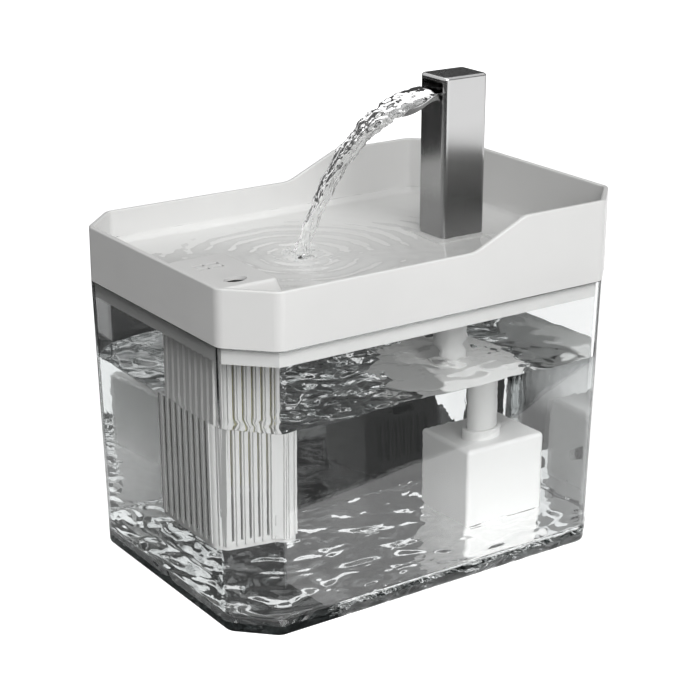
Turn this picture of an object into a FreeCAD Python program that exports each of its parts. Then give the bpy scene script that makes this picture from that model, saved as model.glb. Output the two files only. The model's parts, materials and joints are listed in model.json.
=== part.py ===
import FreeCAD, Part
import math
import os
import re
import Sketcher
from FreeCAD import Placement, Rotation, Vector

os.makedirs("parts", exist_ok=True)
doc = FreeCAD.newDocument("PetWaterFountain")

# Driving sizes, in millimetres. X is the width, Y the length (the drinking side faces -Y), Z is up.
SIZES = {
    # clear tank
    "TankWidth": 156.8,
    "TankLength": 220.0,
    "TankHeight": 137.3,
    "TankCorner": 19.6,
    "TankTaper": 3.3,
    "TankWall": 2.6,
    "TankFloor": 5.0,
    "TankEdgeRound": 7.0,
    "TankFootRound": 3.0,
    "NotchWidth": 12.0,
    "NotchDepth": 9.0,
    # drinking tray
    "SeatGap": 0.3,
    "TrayFloor": 2.6,
    "TrayWall": 2.4,
    "TrayInnerRound": 3.6,
    "RimLowRise": 26.5,
    "RimHighRise": 39.4,
    "WaveStartFromRear": 96.0,
    "WaveEndFromRear": 67.0,
    "WaveLowRound": 16.0,
    "WaveHighRound": 7.0,
    "RimRound": 0.8,
    "SkirtHeight": 8.0,
    "SkirtWall": 1.8,
    "SkirtGap": 0.6,
    "PlinthHeight": 2.4,
    "PlinthMargin": 4.0,
    "BossDrop": 14.0,
    "BossWall": 2.0,
    "GussetWall": 1.6,
    "GussetReach": 9.0,
    # steel faucet
    "ColumnFromRear": 50.0,
    "ColumnWidth": 20.5,
    "ColumnDepth": 26.0,
    "ColumnHeight": 85.1,
    "ColumnSheet": 1.0,
    "ColumnEdgeRound": 2.6,
    "SpoutMouthHeight": 8.6,
    "SpoutMouthWidth": 16.6,
    "SpoutMouthDrop": 2.6,
    "LipReach": 21.0,
    "LipDrop": 5.6,
    "LipSheet": 0.9,
    "LipCurl": 3.8,
    "LipInside": 7.0,
    "LipBend": 15.0,
    "LipWidth": 19.9,
    "LipFlat": 10.4,
    "LipSideGap": 0.3,
    "LipFaceGap": 0.1,
    "InsertGap": 0.15,
    "InsertDepthBelow": 9.0,
    "RiserOuter": 10.0,
    "RiserWall": 1.4,
    "PlugHeight": 12.0,
    "PlugGap": 0.2,
    "SpigotOuter": 22.0,
    "SpigotLength": 13.0,
    "SpigotGap": 0.3,
    "SealSection": 1.6,
    "SealEase": 0.08,
    # outlet tube of the pump
    "TubeOuter": 17.0,
    "TubeWall": 1.8,
    "TubeSlipGap": 0.3,
    "TubeInsert": 10.0,
    # pump
    "PumpX": -7.0,
    "PumpBehindColumn": 5.0,
    "PumpWidth": 58.0,
    "PumpLength": 48.0,
    "PumpHeight": 41.0,
    "PumpEdgeRound": 2.5,
    "PumpWall": 2.0,
    "CoverSheet": 2.2,
    "CoverGap": 0.3,
    "CoverSlotWidth": 2.4,
    "CoverSlotPitch": 4.8,
    "CoverSlotHeight": 22.0,
    "CoverSlotRise": 17.2,
    "ChamberRadius": 13.0,
    "ChamberDepth": 9.0,
    "DuctBore": 8.0,
    "VoluteSheet": 1.6,
    "SpokeWidth": 1.6,
    "SocketWall": 1.2,
    "RotorRadius": 5.6,
    "RotorLength": 13.0,
    "RotorGap": 0.5,
    "CanWall": 1.2,
    "BladeRadius": 10.0,
    "BladeHeight": 5.0,
    "BladeSheet": 1.4,
    "BladeCount": 6,
    "VaneRoot": 2.4,
    "VaneTip": 9.5,
    "ShaftRadius": 1.0,
    "ShaftFit": 0.05,
    "BushRadius": 3.0,
    "BushLength": 3.0,
    "EyeRadius": 5.0,
    "PrefilterDepth": 21.0,
    "PrefilterGap": 0.4,
    "CoreStack": 10.0,
    "CoreLeg": 5.0,
    "CoilLength": 13.0,
    "PottingSheet": 1.8,
    "PottingGap": 0.1,
    "CupRadius": 5.5,
    "CupHeight": 3.4,
    "CupLip": 1.0,
    "CupInset": 9.0,
    "GlandRadius": 3.2,
    "GlandBore": 1.6,
    "GlandLength": 9.0,
    "SliderLength": 9.0,
    "SliderWidth": 3.4,
    "SliderTravel": 6.0,
    "SliderGap": 0.3,
    "SliderShoe": 1.2,
    "SliderProud": 1.0,
    "SocketRise": 5.0,
    "TubeSeatDepth": 6.0,
    "CoverSlotCount": 7,
    "CoilSheet": 2.8,
    "CoilGap": 0.2,
    "GrommetGap": 0.3,
    "GrommetLip": 1.4,
    "GrommetInset": 0.5,
    "GrommetRound": 3.0,
    # filter basket, its contents and its drain cap
    "BasketFromSide": 58.4,
    "BasketFromFront": 26.0,
    "BasketWidth": 50.0,
    "BasketDepth": 32.0,
    "BasketFoot": 36.0,
    "BasketWall": 1.5,
    "BasketFloor": 2.0,
    "BasketRound": 4.0,
    "BasketGap": 0.7,
    "BasketBand": 9.0,
    "RibCount": 9,
    "RibCountSide": 6,
    "RibWidth": 2.0,
    "RibDepth": 1.1,
    "RibPitch": 5.2,
    "RibPitchSide": 4.9,
    "SlitWidth": 1.3,
    "SlitHeight": 92.0,
    "FlangeSheet": 1.8,
    "CoamingHeight": 6.0,
    "CoamingWall": 2.0,
    "CapHeight": 9.7,
    "CapSheet": 1.6,
    "CapRound": 3.0,
    "CapTaper": 3.0,
    "CapSlotLength": 13.0,
    "CapSlotWidth": 2.8,
    "CapSlotPitch": 5.0,
    "CapSlotOffset": 8.5,
    "CapHoleShift": 2.0,
    "CapBar": 1.6,
    "FingerLength": 12.0,
    "FingerWidth": 7.6,
    "FingerOffset": 15.0,
    "WindowHeight": 5.0,
    "WindowWidth": 4.6,
    "WindowPitch": 8.4,
    "WindowCount": 5,
    "SpongeHeight": 58.0,
    "SpongeGap": 0.8,
    "SpongeRound": 2.5,
    "PackHeight": 24.0,
    "GridSheet": 1.6,
    "GridSlotWidth": 2.0,
    "GridCount": 8,
    "GridMargin": 4.0,
    "GridPitch": 5.0,
}

# A parallel outline inset by 1 shortens a 45-degree corner cut by this much
CUT = "(2 - sqrt(2))"

# Sizes that follow from the driving ones: seats, fits and clearances.
FITS = {
    "TrayBase": "TankHeight + SeatGap",
    "TrayDeck": "TrayBase + TrayFloor",
    "SkirtInset": "TankWall + SkirtGap",
    "RimLow": "TrayBase + RimLowRise",
    "RimHigh": "TrayBase + RimHighRise",
    "WaveStart": "TankLength / 2 - WaveStartFromRear",
    "WaveEnd": "TankLength / 2 - WaveEndFromRear",
    "ColumnY": "TankLength / 2 - ColumnFromRear",
    "PumpY": "ColumnY + PumpBehindColumn",
    "BasketX": "TankWidth / 2 - BasketFromSide",
    "BasketY": "BasketFromFront - TankLength / 2",
    "ColumnFoot": "TrayDeck + PlinthHeight + SeatGap",
    "ColumnTop": "ColumnFoot + ColumnHeight",
    "MouthTop": "ColumnTop - SpoutMouthDrop",
    "MouthBottom": "MouthTop - SpoutMouthHeight",
    "LipFlick": "LipReach / sin(2 * atan(LipDrop / LipReach)) - LipBend",
    "BossOuter": "SpigotOuter + 2 * SpigotGap + 2 * BossWall",
    "BossBottom": "TrayBase - BossDrop",
    "SpigotBottom": "ColumnFoot - SpigotLength",
    "TubeTop": "SpigotBottom + TubeInsert",
    "SpigotBore": "TubeOuter + 2 * TubeSlipGap",
    "PumpBottom": "TankFloor + CupHeight",
    "PumpTop": "PumpBottom + PumpHeight",
    "PumpLeft": "PumpX - PumpWidth / 2",
    "PumpRight": "PumpX + PumpWidth / 2",
    "CoverInnerFace": "PumpLeft + CoverSheet",
    "PrefilterLeft": "CoverInnerFace + PrefilterGap",
    "VoluteLeft": "PrefilterLeft + PrefilterDepth + PrefilterGap",
    "ChamberLeft": "VoluteLeft + VoluteSheet",
    "ChamberRight": "ChamberLeft + ChamberDepth",
    "WellRadius": "RotorRadius + RotorGap",
    "CanRadius": "WellRadius + CanWall",
    "WellRight": "ChamberRight + RotorLength + 2 * BushLength",
    "MotorLeft": "ChamberRight + PumpWall",
    "CoreFoot": "PumpBottom + PottingSheet + CoverGap + CoilSheet + CoilGap",
    "GlandX": "(MotorLeft + PumpRight - PumpWall) / 2",
    "GlandZ": "PumpBottom + PumpHeight / 2",
    "SliderZ": "PumpTop - PumpWall * 4",
    "AxisY": "PumpY",
    "AxisZ": "PumpBottom + PumpHeight / 2 + 2",
    "FlangeSeat": "TrayDeck + CoamingHeight + SeatGap",
    "FlangeTop": "FlangeSeat + FlangeSheet",
    "CapTop": "FlangeTop + CapHeight",
    "OpeningWidth": "BasketWidth + 2 * RibDepth + 2 * BasketGap",
    "OpeningDepth": "BasketDepth + 2 * RibDepth + 2 * BasketGap",
    "PackBottom": "BasketFoot + BasketFloor + SeatGap",
    "GridBottom": "PackBottom + PackHeight + SeatGap",
    "SpongeBottom": "GridBottom + GridSheet + SeatGap",
}


def make_sheet(name, cells):
    """A spreadsheet with one alias per row."""
    sheet = doc.addObject("Spreadsheet::Sheet", name)
    for row, (alias, content) in enumerate(cells.items(), start=1):
        sheet.set(f"A{row}", alias)
        sheet.set(f"B{row}", content)
        sheet.setAlias(f"B{row}", alias)
    return sheet


def linked(text):
    """The expression with each size named through the sheet that holds it."""
    def one(match):
        word = match.group(0)
        if word in SIZES:
            return "Sizes." + word
        return "Fits." + word if word in FITS else word
    return re.sub(r"[A-Za-z_]\w*", one, text)


sizes = make_sheet("Sizes", {name: str(number) for name, number in SIZES.items()})
fits = make_sheet("Fits", {name: "=" + re.sub(r"\b(" + "|".join(SIZES) + r")\b", r"Sizes.\1", text)
                           for name, text in FITS.items()})
doc.recompute()


def val(name):
    """A size as a plain number."""
    sheet = sizes if name in SIZES else fits
    return float(sheet.get(name))


def bind(item, **links):
    """Binds properties to the sheets: bind(box, Length="TankWidth / 2")."""
    for prop, text in links.items():
        item.setExpression(prop.replace("__", "."), linked(text))


# Helpers for PartDesign bodies

def new_body(label):
    body = doc.addObject("PartDesign::Body", label)
    body.Label = label
    return body


PLANES = {"XY": "XY_Plane", "XZ": "XZ_Plane", "YZ": "YZ_Plane"}


def new_sketch(body, name, plane="XY", x="0", y="0", up="0"):
    """A sketch parallel to one of the body's origin planes; x, y and up move it in its own axes."""
    sketch = body.newObject("Sketcher::SketchObject", name)
    origin_plane = [f for f in body.Origin.OriginFeatures if f.Role == PLANES[plane]][0]
    sketch.AttachmentSupport = [(origin_plane, "")]
    sketch.MapMode = "FlatFace"
    for axis, text in (("x", x), ("y", y), ("z", up)):
        sketch.setExpression(f"AttachmentOffset.Base.{axis}", linked(text))
    return sketch


def dimension(sketch, constraint, text):
    """Adds a dimensional constraint whose value follows the sheet."""
    index = sketch.addConstraint(constraint)
    sketch.setExpression(f"Constraints[{index}]", linked(text))
    return index


def closed_path(sketch, points):
    """Straight lines through the points, joined end to end and closed; returns their indices."""
    lines = []
    for start, end in zip(points, points[1:] + points[:1]):
        lines.append(sketch.addGeometry(Part.LineSegment(Vector(*start, 0), Vector(*end, 0)), False))
    for here, following in zip(lines, lines[1:] + lines[:1]):
        sketch.addConstraint(Sketcher.Constraint("Coincident", here, 2, following, 1))
    return lines


def rectangle(sketch, width, height):
    """A rectangle centred on the sketch's origin."""
    a, b = 10.0, 8.0
    low, right, top, left = closed_path(sketch, [(-a, -b), (a, -b), (a, b), (-a, b)])
    for line in (low, top):
        sketch.addConstraint(Sketcher.Constraint("Horizontal", line))
    for line in (left, right):
        sketch.addConstraint(Sketcher.Constraint("Vertical", line))
    sketch.addConstraint(Sketcher.Constraint("Symmetric", low, 1, top, 1, -1, 1))
    dimension(sketch, Sketcher.Constraint("DistanceX", low, 1, low, 2, 2 * a), width)
    dimension(sketch, Sketcher.Constraint("DistanceY", right, 1, right, 2, 2 * b), height)


def octagon(sketch, width, length, corner):
    """A rectangle with its four corners cut at 45 degrees, centred on the sketch's origin."""
    a, b, c = 70.0, 100.0, 20.0
    points = [(-a + c, -b), (a - c, -b), (a, -b + c), (a, b - c),
              (a - c, b), (-a + c, b), (-a, b - c), (-a, -b + c)]
    low, se, right, ne, top, nw, left, sw = closed_path(sketch, points)
    for start, end, axis in (((low, 1), (low, 2), -2), ((top, 1), (top, 2), -2),
                             ((right, 1), (right, 2), -1), ((left, 1), (left, 2), -1),
                             ((low, 1), (top, 2), -1), ((left, 1), (right, 2), -2)):
        sketch.addConstraint(Sketcher.Constraint("Symmetric", *start, *end, axis))
    dimension(sketch, Sketcher.Constraint("DistanceX", left, 1, right, 2, 2 * a), width)
    dimension(sketch, Sketcher.Constraint("DistanceY", low, 1, top, 2, 2 * b), length)
    dimension(sketch, Sketcher.Constraint("DistanceX", se, 1, se, 2, c), corner)
    dimension(sketch, Sketcher.Constraint("DistanceY", se, 1, se, 2, c), corner)


def circle(sketch, diameter):
    """A circle centred on the sketch's origin."""
    index = sketch.addGeometry(Part.Circle(Vector(0, 0, 0), Vector(0, 0, 1), 5.0), False)
    sketch.addConstraint(Sketcher.Constraint("Coincident", index, 3, -1, 1))
    dimension(sketch, Sketcher.Constraint("Diameter", index, 10.0), diameter)


def pad(body, sketch, length, reverse=False, middle=False):
    feature = body.newObject("PartDesign::Pad", sketch.Name + "Pad")
    feature.Profile = sketch
    feature.Reversed = reverse
    feature.Midplane = middle
    bind(feature, Length=length)
    sketch.Visibility = False
    return feature


def pocket(body, sketch, length=None, reverse=False, middle=False):
    """A pocket of a length, or through everything where no length is given; it must remove material."""
    doc.recompute()
    before = body.Shape.Volume
    feature = body.newObject("PartDesign::Pocket", sketch.Name + "Pocket")
    feature.Profile = sketch
    feature.Reversed = reverse
    feature.Midplane = middle
    if length is None:
        feature.Type = "ThroughAll"
    else:
        bind(feature, Length=length)
    doc.recompute()
    if not body.Shape.Volume < before - 1e-3:
        raise RuntimeError(sketch.Name + " cuts nothing")
    return feature


def flare(feature, angle):
    """Leans the walls of a pad or pocket outward by an angle given as an expression."""
    feature.setExpression("TaperAngle", linked(angle))
    doc.recompute()


def pattern(body, feature, axis, length, count):
    """Copies a feature along one of the body's origin axes."""
    origin_axis = [f for f in body.Origin.OriginFeatures if f.Role == axis][0]
    repeat = body.newObject("PartDesign::LinearPattern", feature.Name + "Row")
    repeat.Originals = [feature]
    repeat.Direction = (origin_axis, [""])
    bind(repeat, Length=length, Occurrences=count)
    body.Tip = repeat
    doc.recompute()
    return repeat


def edges_where(shape, test):
    """Names of the edges whose midpoint and direction pass the test."""
    names = []
    for number, edge in enumerate(shape.Edges, start=1):
        middle = edge.valueAt((edge.FirstParameter + edge.LastParameter) / 2)
        ends = [v.Point for v in edge.Vertexes]
        run = ends[-1].sub(ends[0]) if len(ends) > 1 else Vector(0, 0, 0)
        if test(middle, run):
            names.append(f"Edge{number}")
    return names


def upright(run):
    return abs(run.z) > 5 * (abs(run.x) + abs(run.y)) and abs(run.z) > 0.5


def fillet(body, radius, test, kind="Fillet"):
    """Rounds the chosen edges of the body as it stands."""
    doc.recompute()
    base = body.Tip
    names = edges_where(base.Shape, test)
    if not names:
        raise RuntimeError(body.Label + " has no edge to round")
    feature = body.newObject("PartDesign::" + kind, body.Label + kind)
    feature.Base = (base, names)
    if kind == "Fillet":
        bind(feature, Radius=radius)
    else:
        bind(feature, Size=radius)
    doc.recompute()
    return feature


# Helpers for Part primitives

def place(item, x="0", y="0", z="0", turn=None):
    """Puts an object at a point given by sizes; turn is (axis, degrees)."""
    if turn is not None:
        item.Placement = Placement(Vector(0, 0, 0), Rotation(Vector(*turn[0]), turn[1]))
    for axis, text in (("x", x), ("y", y), ("z", z)):
        item.setExpression(f"Placement.Base.{axis}", linked(text))


ALONG_X = ((0, 1, 0), 90)
ALONG_Y = ((1, 0, 0), -90)


def cylinder(name, radius, length, x="0", y="0", z="0", turn=None):
    item = doc.addObject("Part::Cylinder", name)
    bind(item, Radius=radius, Height=length)
    place(item, x, y, z, turn)
    return item


def block(name, length, width, height, x, y, z):
    """A box given by its sizes and the middle of its bottom face."""
    item = doc.addObject("Part::Box", name)
    bind(item, Length=length, Width=width, Height=height)
    place(item, f"{x} - ({length}) / 2", f"{y} - ({width}) / 2", z)
    return item


def cut(label, base, *tools):
    """The base less each tool."""
    result = base
    for number, tool in enumerate(tools, start=1):
        step = doc.addObject("Part::Cut", f"{label}Cut{number}")
        step.Base = result
        step.Tool = tool
        result = step
    result.Label = label
    return result


def fuse(label, *items):
    result = doc.addObject("Part::MultiFuse", label + "Fuse")
    result.Shapes = list(items)
    result.Refine = True
    result.Label = label
    return result


def group(label, items):
    """Separate solids kept in one node."""
    result = doc.addObject("Part::Compound", label + "Group")
    result.Links = list(items)
    result.Label = label
    return result


def rounded(label, item, radius, test):
    """Fillets the chosen edges of a primitive or boolean."""
    doc.recompute()
    result = doc.addObject("Part::Fillet", label + "Round")
    result.Base = item
    size = val(radius)
    result.Edges = [(int(name[4:]), size, size) for name in edges_where(item.Shape, test)]
    result.Label = label
    return result


def ring(label, outer_radius, inner_radius, length, x="0", y="0", z="0", turn=None):
    outer = cylinder(label + "Outer", outer_radius, length, x, y, z, turn)
    inner = cylinder(label + "Inner", inner_radius, length, x, y, z, turn)
    return cut(label, outer, inner)


def torus(label, ring_radius, section_radius, x, y, z):
    item = doc.addObject("Part::Torus", label)
    bind(item, Radius1=ring_radius, Radius2=section_radius)
    place(item, x, y, z)
    item.Label = label
    return item


# Tank: clear tapered tub with cut corners and a cable notch in its rear rim

def make_tank():
    body = new_body("tank")
    foot = new_sketch(body, "TankFootOutline")
    octagon(foot, "TankWidth - 2 * TankTaper", "TankLength - 2 * TankTaper",
            f"TankCorner - {CUT} * TankTaper")
    flare(pad(body, foot, "TankHeight"), "atan(TankTaper / TankHeight)")
    fillet(body, "TankEdgeRound", lambda p, run: abs(run.z) > val("TankHeight") / 2)
    fillet(body, "TankFootRound", lambda p, run: p.z < 0.01)
    inset = "2 * (TankWall + TankTaper * (1 - TankFloor / TankHeight))"
    floor = new_sketch(body, "TankFloorOutline", up="TankFloor")
    octagon(floor, f"TankWidth - {inset}", f"TankLength - {inset}", f"TankCorner - {CUT} * {inset} / 2")
    flare(pocket(body, floor, "TankHeight - TankFloor", reverse=True), "atan(TankTaper / TankHeight)")
    # halfway up, a line midway through the wall parts the inner corners from the outer ones
    reach = (val("TankWidth") - val("TankTaper") - val("TankWall")) / 2
    span = (val("TankLength") - val("TankTaper") - val("TankWall")) / 2
    diagonal = reach + span - val("TankCorner")

    def inner_corner(p, run):
        return (abs(run.z) > val("TankHeight") / 2 and abs(p.x) < reach and abs(p.y) < span
                and abs(p.x) + abs(p.y) < diagonal)

    fillet(body, "TankEdgeRound - TankWall", inner_corner)
    fillet(body, "TankFootRound", lambda p, run: abs(p.z - val("TankFloor")) < 0.01)
    notch = new_sketch(body, "CableNotch", plane="XZ", y="TankHeight - NotchDepth / 2 + 1",
                       up="-TankLength / 2 - 1")
    rectangle(notch, "NotchWidth", "NotchDepth + 2")
    pocket(body, notch, "TankWall * 2 + 2", reverse=True)
    fillet(body, "NotchWidth / 4", lambda p, run: abs(p.z - val("TankHeight") + val("NotchDepth")) < 0.01
           and abs(run.y) > 1 and abs(run.x) < 0.1)
    return body


def outline(body, name, inset, up):
    """The tank's top outline moved inward by an inset."""
    sketch = new_sketch(body, name, up=up)
    octagon(sketch, f"TankWidth - 2 * ({inset})", f"TankLength - 2 * ({inset})",
            f"TankCorner - {CUT} * ({inset})")
    return sketch


# Drinking tray: shallow bowl with a raised rear rim, a skirt that centres it in the tank, a raised
# frame round the basket's opening and a plinth and boss for the faucet

def wave_profile(sketch):
    """The region above the rim's line, which rises from the drinking side to the rear."""
    front, back, sky = -130.0, 130.0, 200.0
    points = [(front, 164.0), (14.0, 164.0), (43.0, 177.0), (back, 177.0), (back, sky), (front, sky)]
    low, slope, high, rear, top, face = closed_path(sketch, points)
    for line in (low, high, top):
        sketch.addConstraint(Sketcher.Constraint("Horizontal", line))
    for line in (rear, face):
        sketch.addConstraint(Sketcher.Constraint("Vertical", line))
    dimension(sketch, Sketcher.Constraint("DistanceX", -1, 1, low, 2, 14.0), "WaveStart")
    dimension(sketch, Sketcher.Constraint("DistanceY", -1, 1, low, 2, 164.0), "RimLow")
    dimension(sketch, Sketcher.Constraint("DistanceX", -1, 1, high, 1, 43.0), "WaveEnd")
    dimension(sketch, Sketcher.Constraint("DistanceY", -1, 1, high, 1, 177.0), "RimHigh")
    dimension(sketch, Sketcher.Constraint("DistanceX", low, 1, low, 2, 144.0), "TankLength / 2 + 30")
    dimension(sketch, Sketcher.Constraint("DistanceX", high, 1, high, 2, 87.0), "TankLength / 2")
    dimension(sketch, Sketcher.Constraint("DistanceY", high, 2, rear, 2, 23.0), "RimHigh - RimLow + 5")


def make_tray():
    body = new_body("drinking_tray")
    outside = outline(body, "TrayOutside", "0", "TrayBase")
    pad(body, outside, "RimHigh - TrayBase")
    fillet(body, "TankEdgeRound", lambda p, run: upright(run))
    inside = outline(body, "TrayInside", "TrayWall", "TrayDeck")
    pocket(body, inside, "RimHigh - TrayDeck", reverse=True)
    reach = (val("TankWidth") - val("TrayWall")) / 2
    span = (val("TankLength") - val("TrayWall")) / 2
    diagonal = reach + span - val("TankCorner")

    def inner_corner(p, run):
        return upright(run) and abs(p.x) < reach and abs(p.y) < span and abs(p.x) + abs(p.y) < diagonal

    fillet(body, "TankEdgeRound - TrayWall", inner_corner)
    fillet(body, "TrayInnerRound", lambda p, run: abs(p.z - val("TrayDeck")) < 0.01)
    wave = new_sketch(body, "RimWave", plane="YZ")
    wave_profile(wave)
    pocket(body, wave, middle=True)
    fillet(body, "WaveLowRound", lambda p, run: abs(p.z - val("RimLow")) < 0.01
           and abs(p.y - val("WaveStart")) < 0.01 and abs(run.x) > 1)
    fillet(body, "WaveHighRound", lambda p, run: abs(p.z - val("RimHigh")) < 0.01
           and abs(p.y - val("WaveEnd")) < 0.01 and abs(run.x) > 1)
    fillet(body, "RimRound", lambda p, run: p.z > val("RimLow") - 0.01)
    skirt = outline(body, "SkirtOutside", "SkirtInset", "TrayBase")
    pad(body, skirt, "SkirtHeight", reverse=True)
    hollow = outline(body, "SkirtInside", "SkirtInset + SkirtWall", "TrayBase")
    pocket(body, hollow, "SkirtHeight")
    frame = new_sketch(body, "OpeningFrame", x="BasketX", y="BasketY", up="TrayDeck")
    rectangle(frame, "OpeningWidth + 2 * CoamingWall", "OpeningDepth + 2 * CoamingWall")
    pad(body, frame, "CoamingHeight")
    plinth = new_sketch(body, "FaucetPlinth", y="ColumnY", up="TrayDeck")
    rectangle(plinth, "ColumnWidth + 2 * PlinthMargin", "ColumnDepth + 2 * PlinthMargin")
    pad(body, plinth, "PlinthHeight")
    boss = new_sketch(body, "FaucetBoss", y="ColumnY", up="TrayBase")
    circle(boss, "BossOuter")
    pad(body, boss, "BossDrop", reverse=True)
    for number, (across, along) in enumerate((("BossOuter + 2 * GussetReach", "GussetWall"),
                                              ("GussetWall", "BossOuter + 2 * GussetReach")), start=1):
        gusset = new_sketch(body, f"BossGusset{number}", y="ColumnY", up="TrayBase")
        rectangle(gusset, across, along)
        pad(body, gusset, "BossDrop / 2", reverse=True)
    fillet(body, "PlinthHeight / 2", lambda p, run: upright(run) and abs(p.x) < val("ColumnWidth")
           and abs(p.y - val("ColumnY")) < val("ColumnDepth") and p.z > val("TrayDeck"))
    corner_x = (val("OpeningWidth")) / 2 + val("CoamingWall")
    fillet(body, "BasketRound", lambda p, run: upright(run) and p.z > val("TrayDeck")
           and abs(abs(p.x - val("BasketX")) - corner_x) < 0.01)
    opening = new_sketch(body, "BasketOpening", x="BasketX", y="BasketY", up="TrayBase - 1")
    rectangle(opening, "OpeningWidth", "OpeningDepth")
    pocket(body, opening, "TrayFloor + CoamingHeight + 2", reverse=True)
    bore = new_sketch(body, "FaucetBore", y="ColumnY", up="BossBottom - 1")
    circle(bore, "SpigotOuter + 2 * SpigotGap")
    pocket(body, bore, "BossDrop + TrayFloor + PlinthHeight + 2", reverse=True)
    relief = new_sketch(body, "SkirtRelief", plane="XZ", y="TrayBase - SkirtHeight / 2",
                        up="-TankLength / 2 + TankWall")
    rectangle(relief, "NotchWidth", "SkirtHeight")
    pocket(body, relief, "SkirtGap + SkirtWall + 1", reverse=True)
    return body


# Steel faucet: square column with a closed top, a mouth in its drinking side and a scooped lip

def make_column():
    body = new_body("faucet_column")
    outside = new_sketch(body, "ColumnOutside", y="ColumnY", up="ColumnFoot")
    rectangle(outside, "ColumnWidth", "ColumnDepth")
    pad(body, outside, "ColumnTop - ColumnFoot")
    fillet(body, "ColumnEdgeRound", lambda p, run: upright(run))
    fillet(body, "ColumnEdgeRound / 2", lambda p, run: abs(p.z - val("ColumnTop")) < 0.01)
    inside = new_sketch(body, "ColumnInside", y="ColumnY", up="ColumnFoot")
    rectangle(inside, "ColumnWidth - 2 * ColumnSheet", "ColumnDepth - 2 * ColumnSheet")
    pocket(body, inside, "ColumnTop - ColumnFoot - ColumnSheet", reverse=True)
    limit_x = val("ColumnWidth") / 2 - val("ColumnSheet") / 2
    limit_y = val("ColumnDepth") / 2 - val("ColumnSheet") / 2
    fillet(body, "ColumnEdgeRound - ColumnSheet", lambda p, run: upright(run) and abs(p.x) < limit_x
           and abs(p.y - val("ColumnY")) < limit_y)
    mouth = new_sketch(body, "SpoutMouth", plane="XZ", y="(MouthTop + MouthBottom) / 2",
                       up="ColumnDepth / 2 - ColumnY + 1")
    rectangle(mouth, "SpoutMouthWidth", "SpoutMouthHeight")
    pocket(body, mouth, "ColumnSheet + 2")
    fillet(body, "ColumnSheet", lambda p, run: abs(run.y) > val("ColumnSheet") / 2 and abs(run.z) < 0.1
           and abs(abs(p.x) - val("SpoutMouthWidth") / 2) < 0.01 and p.y < val("ColumnY"))
    return body


def gutter_section(body, name, depth, height, axis_rise):
    """The scoop's section, a flat bottom between slanted sides, with a turning axis above or below it."""
    section = new_sketch(body, name, plane="XZ", y=height, up=depth)
    half, flat, curl, sheet = val("LipWidth") / 2, val("LipFlat") / 2, val("LipCurl"), val("LipSheet") / 2
    points = [(-half, curl), (-flat, -sheet), (flat, -sheet), (half, curl),
              (half - 2 * sheet, curl), (flat - sheet, sheet), (-flat + sheet, sheet), (-half + 2 * sheet, curl)]
    low_left, low, low_right, tip_right, up_right, up, up_left, tip_left = closed_path(section, points)
    section.addConstraint(Sketcher.Constraint("Horizontal", tip_left))
    for left, right in ((low_left, low_right), (tip_left, tip_right)):
        section.addConstraint(Sketcher.Constraint("Symmetric", left, 1, right, 2, -2))
    section.addConstraint(Sketcher.Constraint("Symmetric", low, 1, low, 2, -2))
    section.addConstraint(Sketcher.Constraint("Symmetric", up, 1, up, 2, -2))
    dimension(section, Sketcher.Constraint("DistanceX", low_left, 1, low_right, 2, 2 * half), "LipWidth")
    dimension(section, Sketcher.Constraint("DistanceX", low, 1, low, 2, 2 * flat), "LipFlat")
    dimension(section, Sketcher.Constraint("DistanceX", tip_left, 2, tip_left, 1, 2 * sheet), "LipSheet")
    dimension(section, Sketcher.Constraint("DistanceX", up, 2, up, 1, 2 * flat - 2 * sheet), "LipFlat - LipSheet")
    dimension(section, Sketcher.Constraint("DistanceY", low, 1, -1, 1, sheet), "LipSheet / 2")
    dimension(section, Sketcher.Constraint("DistanceY", -1, 1, up, 1, sheet), "LipSheet / 2")
    dimension(section, Sketcher.Constraint("DistanceY", -1, 1, low_left, 1, curl), "LipCurl")
    below = axis_rise.startswith("-")
    rise = val(axis_rise.lstrip("-"))
    line_z = -rise if below else rise
    line = Part.LineSegment(Vector(-half, line_z, 0), Vector(half, line_z, 0))
    axis = section.addGeometry(line, True)
    section.addConstraint(Sketcher.Constraint("Symmetric", axis, 1, axis, 2, -2))
    dimension(section, Sketcher.Constraint("DistanceX", axis, 1, axis, 2, 2 * half), "LipWidth")
    ends = (axis, 1, -1, 1) if below else (-1, 1, axis, 1)
    dimension(section, Sketcher.Constraint("DistanceY", *ends, rise), axis_rise.lstrip("-"))
    return section


def make_lip():
    """Scoop nearly as wide as the column: it leaves the mouth level, dips and ends level again."""
    body = new_body("spout_lip")
    face = "ColumnDepth / 2 - ColumnY + LipFaceGap"
    level = "MouthBottom + LipSheet / 2"
    for name, depth, height, axis_rise in (("LipDip", face, level, "-LipBend"),
                                           ("LipRise", f"{face} + LipReach", f"{level} - LipDrop", "LipFlick")):
        section = gutter_section(body, name, depth, height, axis_rise)
        bend = body.newObject("PartDesign::Revolution", name + "Bend")
        bend.Profile = section
        bend.ReferenceAxis = (section, ["Axis0"])
        bend.setExpression("Angle", linked("2 * atan(LipDrop / LipReach)"))
        doc.recompute()
    tongue = new_sketch(body, "LipTongue", y="ColumnY - ColumnDepth / 2 + (LipInside - LipSheet) / 2",
                        up="MouthBottom")
    rectangle(tongue, "SpoutMouthWidth - 2 * ColumnSheet - 2 * LipSideGap", "LipInside + LipSheet")
    pad(body, tongue, "LipSheet")
    return body


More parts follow.
